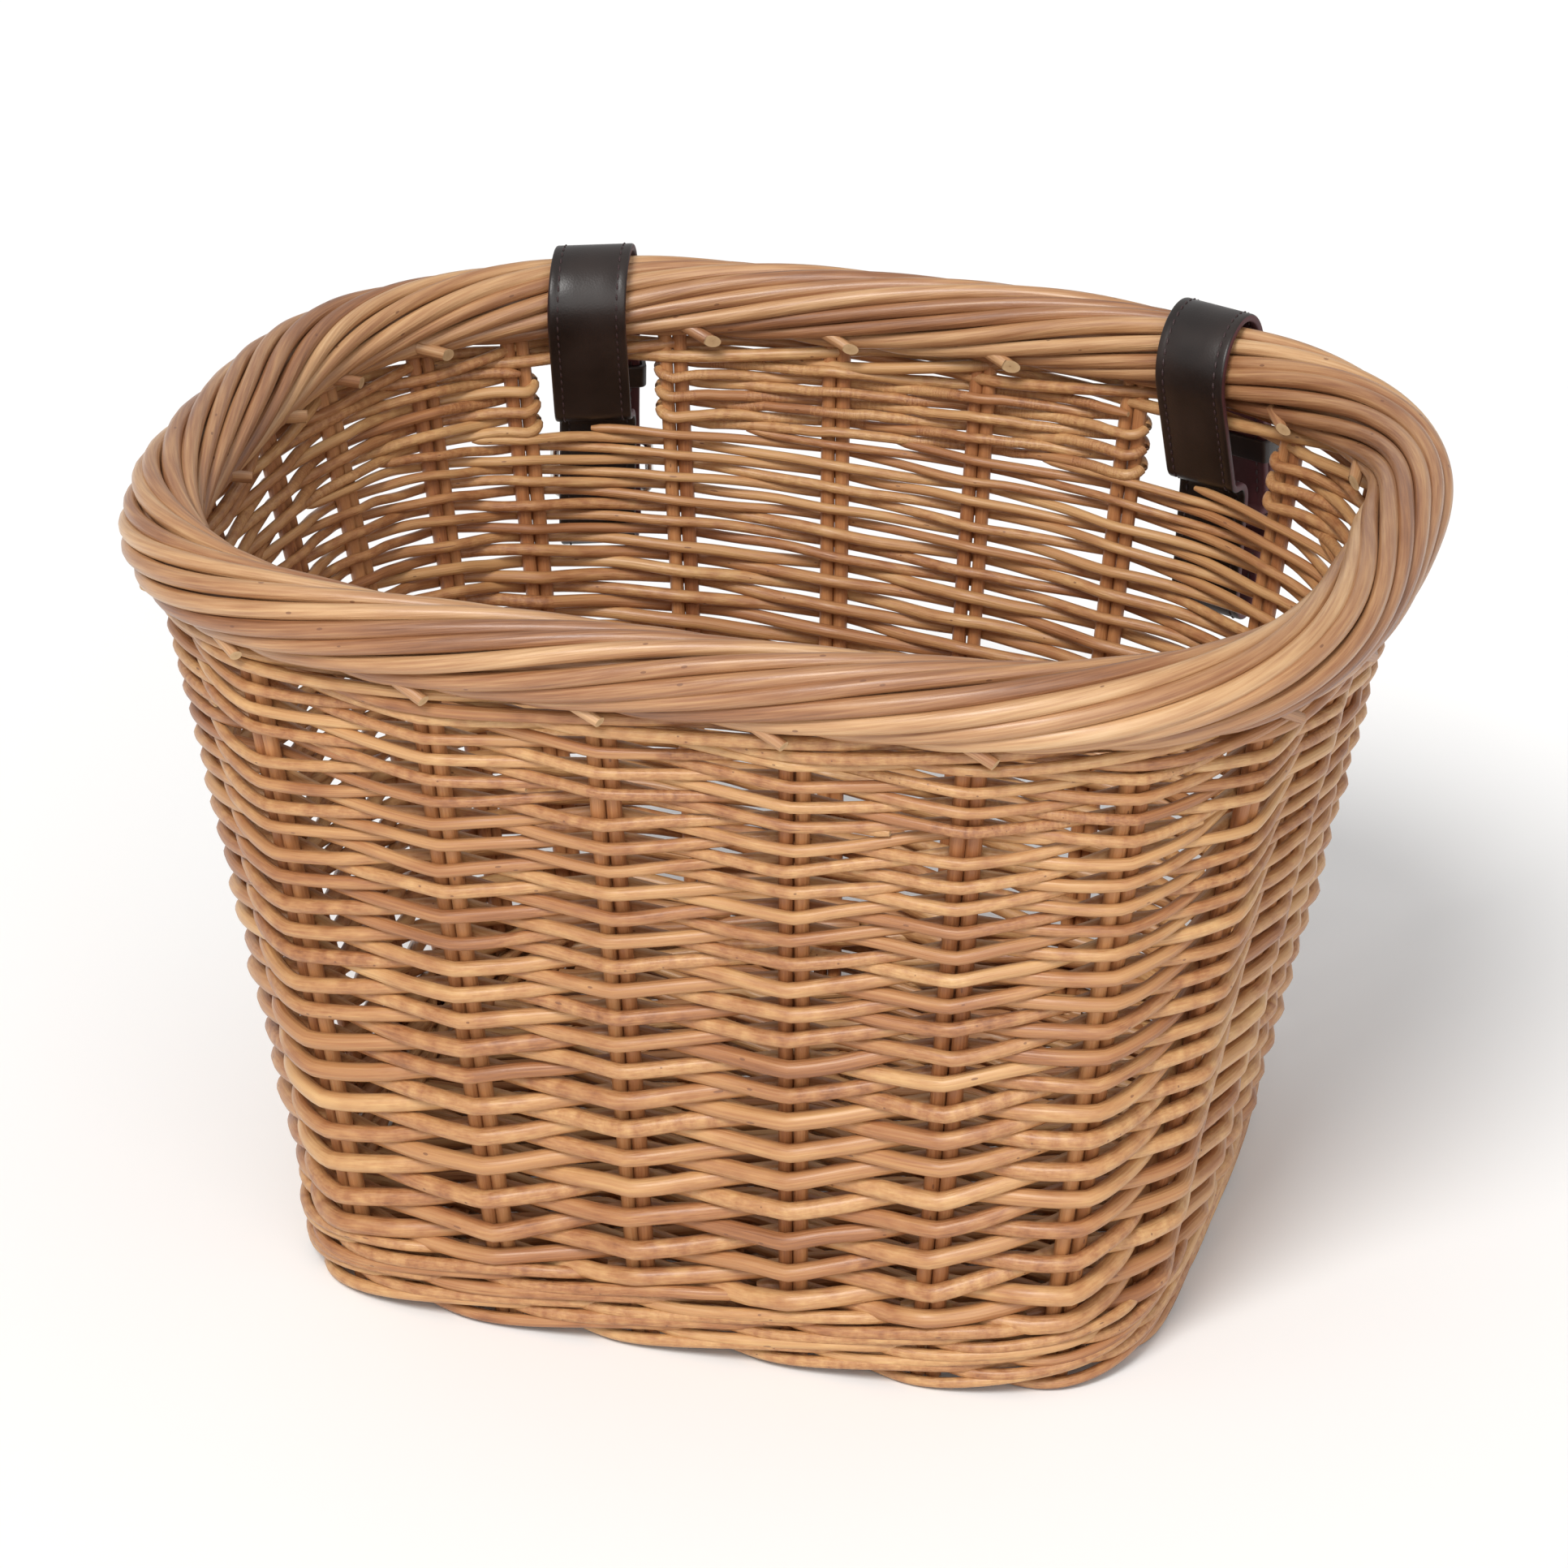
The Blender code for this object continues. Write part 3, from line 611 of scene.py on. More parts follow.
def plated_steel():
    """Nickel plate: bright metal with small cloudy and scratched patches."""
    mat, tree, shader = surface("nickel_plate")
    place = add(tree, "ShaderNodeTexCoord").outputs["Object"]
    clouds = add(tree, "ShaderNodeTexNoise", dict(Scale=210.0, Detail=5.0), dict(Vector=place))
    colour = ramp(tree, clouds.outputs["Fac"],
                  ((0.3, (0.50, 0.48, 0.45)), (0.7, (0.80, 0.79, 0.77))))
    tree.links.new(colour, shader.inputs["Base Color"])
    gloss = maths(tree, "MULTIPLY_ADD", clouds.outputs["Fac"], 0.25, 0.14)
    tree.links.new(gloss, shader.inputs["Roughness"])
    shader.inputs["Metallic"].default_value = 1.0
    return mat


GRAIN = rod_grain_group()
HIDE = pebble_group()
HONEY = ((0.05, (0.20, 0.070, 0.026)), (0.30, (0.36, 0.150, 0.056)),
         (0.55, (0.49, 0.250, 0.100)), (0.80, (0.61, 0.360, 0.155)), (1.0, (0.72, 0.48, 0.25)))
SANDY = ((0.10, (0.16, 0.058, 0.024)), (0.34, (0.31, 0.135, 0.057)),
         (0.52, (0.44, 0.228, 0.103)), (0.70, (0.58, 0.345, 0.170)), (0.95, (0.70, 0.48, 0.28)))
RUSSET = ((0.05, (0.18, 0.058, 0.020)), (0.35, (0.34, 0.130, 0.045)),
          (0.65, (0.48, 0.215, 0.080)), (1.0, (0.62, 0.34, 0.15)))
WILLOW = willow("varnished_willow", GRAIN, HONEY, (0.34, 0.60), 0.30)
STAKE_WILLOW = willow("stake_willow", GRAIN, RUSSET, (0.38, 0.62), 0.18)
BORDER_WILLOW = willow("border_willow", GRAIN, SANDY, (0.34, 0.58), 0.42)
CUT_END = cut_wood()
OUTER_LEATHER = leather("dark_bridle_leather", HIDE, (0.012, 0.0075, 0.0065),
                        (0.030, 0.019, 0.016), 0.27, 1500.0, 0.00012)
EDGE_LEATHER = leather("burgundy_edge_leather", HIDE, (0.055, 0.012, 0.016),
                       (0.115, 0.032, 0.040), 0.55, 900.0, 0.0002)
THREAD = waxed_thread("waxed_thread", (0.060, 0.030, 0.032))
STEEL = plated_steel()


# ---- woven wall -------------------------------------------------------------------------
def in_and_out(beat):
    """+1 at even beats, -1 at odd, nearly straight between: arcsine of a cosine."""
    return np.arcsin(KINK * np.cos(math.pi * beat)) / math.asin(KINK)


def climbing_weaver(number):
    """One rod of the main weave.

    It starts at the foot and moves one stake on for each layer it climbs, in
    front at even layers and behind at odd.  Layer height = span (1 - e^(-rate m)),
    less a dip where the rod bends down over the front of a stake.
    """
    layer = np.arange(FIRST_LAYER, LAYER_COUNT, 1 / LAYER_STEPS)
    count = len(layer)
    rise = LAYER_SPAN * (1 - np.exp(-LAYER_RATE * np.maximum(layer, LOWEST_LAYER)))
    weave = in_and_out(layer)
    share = share_at(number - layer + wobble(count, *WEAVER_UNEVEN["along"]))
    frontness = (1 - np.cos(TURN * share)) / 2
    dip = DIP * (BACK_DIP + (1 - BACK_DIP) * frontness) * np.clip(layer / 2, 0, 1)
    z = FOOT_WALE_TOP + LAYER_LIFT + rise
    z = z + wobble(count, *WEAVER_UNEVEN["height"]) - dip * weave
    radius = np.interp(z, WEAVER_HEIGHTS, WEAVER_RADII)
    radius = radius * (BACK_THICKNESS + (1 - BACK_THICKNESS) * frontness)
    radius = radius * (1 + wobble(count, *WEAVER_UNEVEN["size"]) + rng.uniform(-0.06, 0.06))
    swing = STAKE_RADIUS + radius + WEAVER_GAP
    depth = swing * weave + wobble(count, *WEAVER_UNEVEN["depth"])
    path = wall_place(share, z, depth)
    tone = 0.5 + wobble(count, *WEAVER_UNEVEN["tone"]) + rng.uniform(-0.3, 0.3)
    made = rod(path, round_off(count, radius, 3), wall_out(share, z))
    made["tone"] = np.repeat(np.clip(tone, 0, 1), ROD_SIDES)
    return made


def turning_rows(first, last):
    """One thin rod woven to and fro between two end stakes.

    Along a row it passes in front of and behind the stakes in turn; at each end
    it goes round the last stake as half a loop and comes back a row higher.
    """
    stakes, heights, depths, slides = [], [], [], []
    pitch = (SLOT_TOP - SLOT_BOTTOM) / THIN_ROWS
    swing = STAKE_RADIUS + THIN_RADIUS
    reach = STAKE_BESIDE + STAKE_RADIUS + THIN_RADIUS * LOOP_LOOSENESS
    turn = np.linspace(0, math.pi, LOOP_STEPS + 2)[1:-1]
    steps = (last - first) * STEPS_PER_STAKE + 1
    for row in range(THIN_ROWS):
        forward = row % 2 == 0
        at = np.linspace(first, last, steps) if forward else np.linspace(last, first, steps)
        z = SLOT_BOTTOM + pitch * (row + 0.5)
        weave = in_and_out(at + row)
        fade = np.clip(np.minimum(at - first, last - at) * 3, 0, 1)
        stakes.append(at)
        heights.append(z + wobble(steps, *THIN_UNEVEN["height"]) - THIN_DIP * weave * fade)
        depths.append(swing * weave)
        slides.append(np.zeros(steps))
        if row == THIN_ROWS - 1:
            continue
        end, away = (last, 1.0) if forward else (first, -1.0)
        before = 1.0 if (end + row) % 2 == 0 else -1.0
        stakes.append(np.full(LOOP_STEPS, float(end)))
        heights.append(z + pitch * (1 - np.cos(turn)) / 2)
        depths.append(before * swing * np.cos(turn))
        slides.append(away * reach * np.sin(turn))
    share, heights = share_at(np.concatenate(stakes)), np.concatenate(heights)
    path = wall_place(share, heights, np.concatenate(depths), np.concatenate(slides))
    count = len(path)
    size = THIN_RADIUS * (1 + wobble(count, *THIN_UNEVEN["size"]))
    out_and_up = wall_out(share, heights) + np.array([0, 0, 0.35])
    made = rod(path, round_off(count, size, 3), out_and_up)
    tone = 0.5 + wobble(count, *THIN_UNEVEN["tone"])
    made["tone"] = np.repeat(np.clip(tone, 0, 1), ROD_SIDES)
    return made


def wale_strand(strand, middle, rise, swing, radius, sway):
    """One strand of a wale, a closed round.

    With phase p it lies at depth swing * tanh(flatness (cos p + lead)) and at
    height middle - rise sin p, so it comes out on top, slants down and goes behind.
    """
    stake = np.linspace(0, STAKE_COUNT, STAKE_COUNT * STEPS_PER_STAKE, endpoint=False)
    phase = TURN * (WALE_CYCLES * stake / STAKE_COUNT + strand / WALE_STRANDS)
    depth = swing * np.tanh(WALE_FLATNESS * (np.cos(phase) + WALE_LEAD))
    round_way = TURN * stake / STAKE_COUNT
    slow = np.sin(3 * round_way + rng.uniform(0, TURN))
    quick = np.sin(8 * round_way + rng.uniform(0, TURN))
    z = middle - rise * np.sin(phase) + sway * (slow + quick)
    share = share_at(stake)
    size = radius * (1 + 0.08 * np.sin(phase * 0.5 + strand))
    made = rod(wall_place(share, z, depth), size, wall_out(share, z), closed=True)
    tone = 0.5 + 0.4 * np.sin(phase / 3 + strand * 2.4)
    made["tone"] = np.repeat(np.clip(tone, 0, 1), ROD_SIDES)
    return made


def top_wale():
    return [wale_strand(s, TOP_WALE_Z, 0.0026, 0.0048, WALE_RADIUS, 0.0005)
            for s in range(WALE_STRANDS)]


def foot_wale():
    """Rows of strands one above the other, each row begun a little further round."""
    strands = []
    for row, middle in enumerate(FOOT_WALE_ROWS):
        for s in range(WALE_STRANDS):
            radius = WALE_RADIUS * rng.uniform(0.9, 1.08)
            begun = s + row * FOOT_WALE_STAGGER
            strands.append(wale_strand(begun, middle, 0.0034, 0.0054, radius, 0.0004))
    return strands


def stake_rods():
    """Two round uprights side by side at each stake place, straight in the lean."""
    rods = []
    z = np.linspace(STAKE_FOOT, STAKE_HEAD, 22)
    for stake in STAKES:
        for side in (-1, 1):
            slide = side * STAKE_BESIDE + wobble(len(z), 2, 0.0004)
            path = wall_place(stake, z, wobble(len(z), 2, 0.0003), slide)
            size = STAKE_RADIUS * (1 + rng.uniform(-0.06, 0.04))
            rods.append(rod(path, size, wall_out(np.full(len(z), stake), z), 12))
    return rods


# ---- border ----------------------------------------------------------------------------
def rope_place(share, angle, radius):
    """Point at an angle (0 out, a quarter turn up) and radius round the rim's line."""
    share, angle, radius = np.broadcast_arrays(share, angle, radius)
    height = np.full(share.shape, RIM_HEIGHT)
    point = np.concatenate([wall_middle(share, height), height[..., None]], -1)
    point = point + (radius * np.cos(angle))[..., None] * wall_out(share, height)
    point[..., 2] += radius * np.sin(angle)
    return point


def border_strand(number):
    """One rolled strand: up outside, over and down inside as it goes round.

    Angle = start - turns * 2 pi * share.  The strand dives to the core at both
    ends, under the border, where its neighbours cover it.
    """
    sweep = np.linspace(-STRAND_SWEEP, STRAND_SWEEP, STRAND_STEPS)
    from_end = sweep / STRAND_SWEEP
    share = (number + rng.uniform(-0.12, 0.12)) / BORDER_STRANDS - sweep / (TURN * BORDER_TURNS)
    angle = math.pi / 2 + sweep + wobble(STRAND_STEPS, 2.2, 0.09)
    dive = np.clip((np.abs(from_end) - DIVE_FROM) / (1 - DIVE_FROM), 0, 1) ** 1.5
    ring = STRAND_RING + rng.uniform(-0.0004, 0.0003) - dive * DIVE_DEPTH
    ring = ring + wobble(STRAND_STEPS, 3, 0.0006)
    radius = STRAND_RADIUS * rng.uniform(0.86, 1.08) * (1 - 0.07 * from_end)
    path = rope_place(share, angle, ring)
    facing = path - rope_place(share, 0.0, 0.0)
    made = rod(path, round_off(STRAND_STEPS, radius * (1 - 0.25 * dive), 3), facing, 12)
    made["tone"] = rng.uniform(0.0, 1.0)
    return made


def border_core():
    """Plain round filling inside the strands, a closed ring on the rim's line."""
    share = np.arange(160) / 160
    out = wall_out(share, np.full(160, RIM_HEIGHT))
    return rod(rope_place(share, 0.0, 0.0), CORE_RADIUS, out, 12, closed=True, tone=0.3)


def nipped_end(share, nip, drop, radius, cut):
    """Short rod end with a slanting pale cut.

    Straight from the nip's start to its finish, the finish lower by `drop`; the
    last ring leans by `cut` along the rod for each metre of the way that it
    faces out of the wall.
    """
    step = np.linspace(0, 1, 7)[:, None]
    start, finish = np.array(nip)
    finish[2] += drop
    line = start + (finish - start) * step
    path = wall_place(np.full(7, share), line[:, 2], line[:, 1], line[:, 0])
    out = wall_out(np.full(7, share), line[:, 2])
    made = rod(path, radius * (1 - 0.10 * step[:, 0]), out, 14, caps=(0, 1))
    ring = made["points"][-1]
    way = unit(path[-1] - path[-2])
    lean = ((ring - path[-1]) @ out[-1]) * cut
    made["points"][-1] = ring - lean[:, None] * way
    return made


def nipped_ends():
    """Cut ends by the stakes: one or two under the border outside, one inside."""
    ends = []
    for k in range(STAKE_COUNT):
        gap = (STAKES[(k + 1) % STAKE_COUNT] - STAKES[k]) % 1.0
        share = STAKES[k] + gap * rng.uniform(-0.05, 0.12)
        size = rng.uniform(0.0018, 0.0022)
        drop = rng.uniform(-0.0008, 0.0006)
        if rng.uniform() < RIGHT_NIP_CHANCE:
            ends.append(nipped_end(share, RIGHT_NIP, drop, size, 0.3))
        if rng.uniform() < LEFT_NIP_CHANCE:
            ends.append(nipped_end(share, LEFT_NIP, drop, size * 0.9, 0.5))
        if k not in SLOT_AFTER:
            share = STAKES[k] + gap * rng.uniform(0.12, 0.30)
            ends.append(nipped_end(share, INNER_NIP, drop, size * 1.15, -1.2))
    return ends


# ---- base ------------------------------------------------------------------------------
def base_outline():
    """The base's edge: the wall's line at the base's height, moved in a little."""
    share = np.linspace(0, 1, 721)
    return wall_place(share, np.full(721, BASE_Z), np.full(721, -BASE_INSET))[:, :2]


def base_sticks():
    """Straight rods front to back that the base is woven on."""
    edge = base_outline()
    rods = []
    for x in STICK_XS:
        near = edge[np.abs(edge[:, 0] - x) < 0.002][:, 1]
        y = np.linspace(near.min() + 0.001, near.max() - 0.001, 12)
        path = np.stack([np.full(12, x), y, np.full(12, BASE_Z)], -1)
        rods.append(rod(path, STICK_RADIUS, UP, 12))
    return rods


def base_weavers():
    """Rods across the base, over one stick and under the next, rows in turn."""
    edge = base_outline()
    right = edge[edge[:, 0] > 0]
    right = right[np.argsort(right[:, 1])]
    rods = []
    rows = np.arange(right[0, 1] + BASE_MARGIN, right[-1, 1] - BASE_MARGIN, BASE_PITCH)
    for number, y in enumerate(rows):
        reach = np.interp(y, right[:, 1], right[:, 0]) - 0.0005
        x = np.linspace(-reach, reach, 66)
        rise = BASE_SWING * in_and_out(x / STICK_GAP + number)
        fade = np.clip((reach - np.abs(x)) / 0.02, 0.2, 1)
        path = np.stack([x, y + wobble(66, 4, 0.0005), BASE_Z + rise * fade], -1)
        rods.append(rod(path, BASE_WEAVER_RADIUS * (1 + wobble(66, 4, 0.1)), UP, 8))
    return rods


# ---- straps ----------------------------------------------------------------------------
def bend(centre_y, centre_z, radius, start, end, steps):
    """Arc of a circle in the strap's upright plane, angles in degrees."""
    angle = np.radians(np.linspace(start, end, steps))
    return np.stack([centre_y + radius * np.cos(angle), centre_z + radius * np.sin(angle)], -1)


def eased(line):
    """The line with its corners softened by a short bell-shaped average."""
    kernel = np.exp(-np.linspace(-2, 2, 5) ** 2)
    kernel /= kernel.sum()
    padded = np.concatenate([line[:1]] * 2 + [line] + [line[-1:]] * 2)
    return np.stack([np.convolve(padded[:, k], kernel, "valid") for k in (0, 1)], -1)


def strap_line():
    """The strap's middle line as (y, z) and its half thickness, in even steps.

    Eye round the bar, up outside, over the border, slanting down inside, out
    by the slot, a loop below, through the frame and up to the tip.
    """
    eye_drop = EYE_RADIUS - 0.0002
    lap_z = np.array([TAIL_LAP_Z, TAIL_TIP_Z])
    lap = np.stack([BAR_Y + FIXED_SLOPE * (lap_z - FIXED_STRAIGHT_Z) + TAIL_LAP, lap_z], -1)
    pieces = [
        [(BAR_Y, BAR_Z - eye_drop), (BAR_Y, FIXED_STRAIGHT_Z), (FIXED_BEND_Y, FIXED_BEND_Z)],
        bend(BORDER_BEND_Y, RIM_HEIGHT, BORDER_BEND, 0, INNER_TURN, 32),
        bend(SLOT_IN_Y, SLOT_IN_Z, SLOT_BEND_IN, INNER_TURN, 270 - SLOT_DIP, 9),
        bend(SLOT_OUT_Y, SLOT_OUT_Z, SLOT_BEND_OUT, 90 - SLOT_DIP, 0, 10),
        bend((TAIL_LOW_Y + HANG_Y) / 2, HANG_Z, (TAIL_LOW_Y - HANG_Y) / 2, 180, 360, 20),
        [(TAIL_LOW_Y, TAIL_ENTRY_Z), (TAIL_OVER_Y, TAIL_OVER_Z)],
        lap,
    ]
    line = np.concatenate([np.asarray(piece, float) for piece in pieces])
    run = distance_along(line)
    even = np.arange(0, run[-1], STRAP_STEP)
    line = eased(np.stack([np.interp(even, run, line[:, k]) for k in (0, 1)], -1))
    bulge = np.sqrt(np.clip(EYE_RADIUS ** 2 - (even - eye_drop) ** 2, 0, None))
    return line, np.maximum(STRAP_HALF_THICK, bulge), even


def strap_normals():
    """Side of the strap that faces out of its loop, square to its line."""
    ahead = unit(np.gradient(STRAP_LINE, axis=0))
    return np.stack([ahead[:, 1], -ahead[:, 0]], -1)


STRAP_LINE, STRAP_THICK, STRAP_RUN = strap_line()
STRAP_NORMAL = strap_normals()
PRONG_WAY = unit(np.array([0.0, 0.0031, -0.0203]))


def seat_matrix(side, slot):
    """Local X along the rim, Y out, on the ground near the middle of a slot."""
    share = np.array([(STAKES[slot] + STAKES[slot + 1]) / 2])
    height = np.array([RIM_HEIGHT])
    out = wall_out(share, height)[0]
    centre = wall_middle(share, height)[0] + np.array([out[1], -out[0]]) * SEAT_SLIDE[side]
    return np.array([[out[1], out[0], 0.0, centre[0]],
                     [-out[0], out[1], 0.0, centre[1]],
                     [0.0, 0.0, 1.0, 0.0], [0.0, 0.0, 0.0, 1.0]])


def seated(points, seat):
    """Points from a strap's own frame to the basket's."""
    return points @ seat[:3, :3].T + seat[:3, 3]


def sideways(side, y):
    """How far the strap lies along the rim from its buckle: wind * (held y - out y)."""
    return WIND[side] * (np.clip(y, WIND_IN_Y, WIND_OUT_Y) - WIND_OUT_Y)


def strap_profile(half_width, half_thick):
    """Cross-section as (across, out): rounded edges and a stitch groove by each.

    The list runs anticlockwise round the leather from the right edge's top.
    """
    scale = half_width / STRAP_HALF_WIDTH
    flat = (STRAP_HALF_WIDTH - EDGE_CORNER) * scale
    half_face = np.array([GROOVE_X + GROOVE_HALF, GROOVE_X, GROOVE_X - GROOVE_HALF, 0.004])
    face = np.concatenate([half_face, -half_face[::-1]]) * scale
    dip = np.array([0, GROOVE_DEPTH, 0, 0, 0, 0, GROOVE_DEPTH, 0])
    across, out = [], []
    for right, top, start in ((1, 1, 0), (-1, 1, 90), (-1, -1, 180), (1, -1, 270)):
        angle = np.radians(start + np.linspace(0, 90, 4))
        across += list(right * flat + EDGE_CORNER * np.cos(angle))
        out += list(top * (half_thick - EDGE_CORNER) + EDGE_CORNER * np.sin(angle))
        if start in (0, 180):
            across += list(face * right)
            out += list(top * (half_thick - dip))
    return np.array(across), np.array(out)


def strap_part(side, seat):
    """The leather band: its cross-section carried along the strap's line.

    Near the tip the half width follows a quarter circle, and the band thins.
    """
    rows = []
    for (y, z), (ny, nz), thick, run in zip(STRAP_LINE, STRAP_NORMAL, STRAP_THICK, STRAP_RUN):
        left = STRAP_RUN[-1] - run
        point = math.sqrt(1 - (1 - min(left / TAIL_TIP, 1.0)) ** 2)
        wide = STRAP_HALF_WIDTH * (0.30 + 0.70 * point)
        thin = thick * (0.55 + 0.45 * min(1.0, left / 0.0025))
        across, out = strap_profile(wide, max(thin, 0.00085))
        rows.append(np.stack([across + sideways(side, y), y + ny * out, z + nz * out], -1))
    grid = seated(np.array(rows), seat)
    return dict(points=grid, run=STRAP_RUN, closed=False, tone=0.5, caps=(1, 1))


def stitches(hand, seat):
    """Short slanted threads in both grooves, on both faces of the strap."""
    parts = []
    starts = np.arange(0.014, STRAP_RUN[-1] - 0.012, STITCH_PITCH)
    step = np.linspace(-1, 1, 5)
    for side in (-1, 1):
        for face in (-1, 1):
            for start in starts:
                run = start + step * STITCH_HALF
                y, z = (np.interp(run, STRAP_RUN, STRAP_LINE[:, k]) for k in (0, 1))
                ny, nz = (np.interp(run, STRAP_RUN, STRAP_NORMAL[:, k]) for k in (0, 1))
                lift = face * (STRAP_HALF_THICK - STITCH_SINK * step ** 2)
                x = side * GROOVE_X + STITCH_SLANT * step + sideways(hand, y)
                path = seated(np.stack([x, y + ny * lift, z + nz * lift], -1), seat)
                normal = np.stack([np.zeros(5), ny, nz], -1) @ seat[:3, :3].T
                size = STITCH_RADIUS * np.sqrt(1.02 - step ** 2)
                parts.append(rod(path, size, normal * face, 6, tone=0.5, caps=(0, 0)))
    return parts


def rounded_loop(half_x, high, low, corner, steps):
    """Closed rectangle in x and z with round corners, from the upper right one."""
    corners = ((half_x, high, 0), (-half_x, high, 90), (-half_x, low, 180), (half_x, low, 270))
    points = []
    for x, z, start in corners:
        angle = np.radians(start + np.linspace(0, 90, steps))
        cx = x - math.copysign(corner, x)
        cz = z - corner if z == high else z + corner
        points.append(np.stack([cx + corner * np.cos(angle), np.zeros(steps),
                                cz + corner * np.sin(angle)], -1))
    return np.concatenate(points)


def buckle_frame(seat):
    """Round wire carried round a rectangle; the upper side is the bar."""
    path = rounded_loop(FRAME_HALF_WIDTH, 0.0, -FRAME_DROP, FRAME_CORNER, 9)
    path = seated(path + np.array([0.0, BAR_Y, BAR_Z]), seat)
    middle = seated(np.array([[0.0, BAR_Y, BAR_Z - FRAME_DROP / 2]]), seat)
    return rod(path, WIRE_RADIUS, path - middle, 14, closed=True, tone=0.5)


def keeper_band(seat):
    """Leather loop: a rounded band section carried round strap and tail."""
    inner = -STRAP_HALF_THICK - KEEPER_GAP - KEEPER_HALF_THICK
    outer = TAIL_LAP + STRAP_HALF_THICK + KEEPER_GAP + KEEPER_HALF_THICK
    wide = STRAP_HALF_WIDTH + KEEPER_GAP + KEEPER_HALF_THICK
    loop = rounded_loop(wide, outer, inner, 0.0014, 6)[::-1, [0, 2]]
    ahead = unit(np.roll(loop, -1, 0) - np.roll(loop, 1, 0))
    away = np.stack([-ahead[:, 1], ahead[:, 0]], -1)
    section = rounded_loop(KEEPER_HALF_THICK, KEEPER_HALF_TALL, -KEEPER_HALF_TALL, 0.0006, 4)
    flat = loop[:, None] + section[None, :, :1] * away[:, None]
    tilt = math.atan(FIXED_SLOPE)
    x, y = flat[..., :1], flat[..., 1:]
    z = np.broadcast_to(section[None, :, 2:], x.shape)
    y_fixed = BAR_Y + FIXED_SLOPE * (KEEPER_Z - FIXED_STRAIGHT_Z)
    turned_y = y * math.cos(tilt) + z * math.sin(tilt) + y_fixed
    turned_z = z * math.cos(tilt) - y * math.sin(tilt) + KEEPER_Z
    grid = np.concatenate([x, turned_y, turned_z], -1)
    run = distance_along(np.concatenate([loop, np.zeros((len(loop), 1))], 1), True)
    return dict(points=seated(grid, seat), run=run, closed=True, tone=0.5, caps=(0, 0))


def recalculated(obj):
    """Turns all of a closed mesh's faces outwards."""
    bm = bmesh.new()
    bm.from_mesh(obj.data)
    bmesh.ops.recalc_face_normals(bm, faces=bm.faces)
    bm.to_mesh(obj.data)
    bm.free()


def cut_through(obj, parts):
    """Takes closed parts out of obj's mesh, and leaves no modifier behind."""
    cutters = []
    for number, part in enumerate(parts):
        cutter = swept_object(f"cutter_{number}", [part], [EDGE_LEATHER], None)
        recalculated(cutter)
        cut = obj.modifiers.new(f"cut_{number}", "BOOLEAN")
        cut.operation = "DIFFERENCE"
        cut.object = cutter
        cut.solver = "EXACT"
        cutters.append(cutter)
    bpy.context.view_layer.update()
    graph = bpy.context.evaluated_depsgraph_get()
    made = bpy.data.meshes.new_from_object(obj.evaluated_get(graph))
    obj.modifiers.clear()
    obj.data = made
    for cutter in cutters:
        bpy.data.objects.remove(cutter, do_unlink=True)


def paint_strap_sides(obj, seat):
    """Dark leather on faces that look out of the strap's loop, burgundy elsewhere."""
    mesh = obj.data
    count = len(mesh.polygons)
    centres, normals = np.empty(count * 3), np.empty(count * 3)
    mesh.polygons.foreach_get("center", centres)
    mesh.polygons.foreach_get("normal", normals)
    local = (centres.reshape(-1, 3) - seat[:3, 3]) @ seat[:3, :3]
    facing = normals.reshape(-1, 3) @ seat[:3, :3]
    gap = ((local[:, None, 1:] - STRAP_LINE[None, ::3]) ** 2).sum(-1)
    nearest = STRAP_NORMAL[::3][np.argmin(gap, 1)]
    outwards = (facing[:, 1:] * nearest).sum(-1) > 0.6
    mesh.polygons.foreach_set("material_index", np.where(outwards, 0, 1).astype(np.int32))
    mesh.update()


def prong_crossing():
    """Where the prong's line from the bar meets the line of the tail."""
    tail = np.array([0.0, TAIL_OVER_Y - TAIL_LOW_Y, TAIL_OVER_Z - TAIL_ENTRY_Z])
    start = np.array([0.0, TAIL_LOW_Y - BAR_Y, TAIL_ENTRY_Z - BAR_Z])
    level = PRONG_WAY[1] * tail[2] - PRONG_WAY[2] * tail[1]
    reach = (start[1] * tail[2] - start[2] * tail[1]) / level
    return np.array([0.0, BAR_Y, BAR_Z]) + PRONG_WAY * reach


def strap_cuts(seat):
    """What is cut out of a strap: the bar's hole, the prong's notch and its slot."""
    def along_bar(half):
        line = [[x, BAR_Y, BAR_Z] for x in np.linspace(-half, half, 4)]
        return seated(np.array(line), seat)

    square = np.array([0.0, -PRONG_WAY[2], PRONG_WAY[1]])
    middle = prong_crossing() + square * PRONG_RISE
    slot = [middle + PRONG_WAY * t for t in np.linspace(-PRONG_SLOT_HALF, PRONG_SLOT_HALF, 5)]
    slot_cut = rod(seated(np.array(slot), seat), 0.0026, UP, 24, tone=0.5)
    return [rod(along_bar(0.017), 0.0018, UP, 24, tone=0.5),
            rod(along_bar(0.0025), 0.00435, UP, 32, tone=0.5), slot_cut]


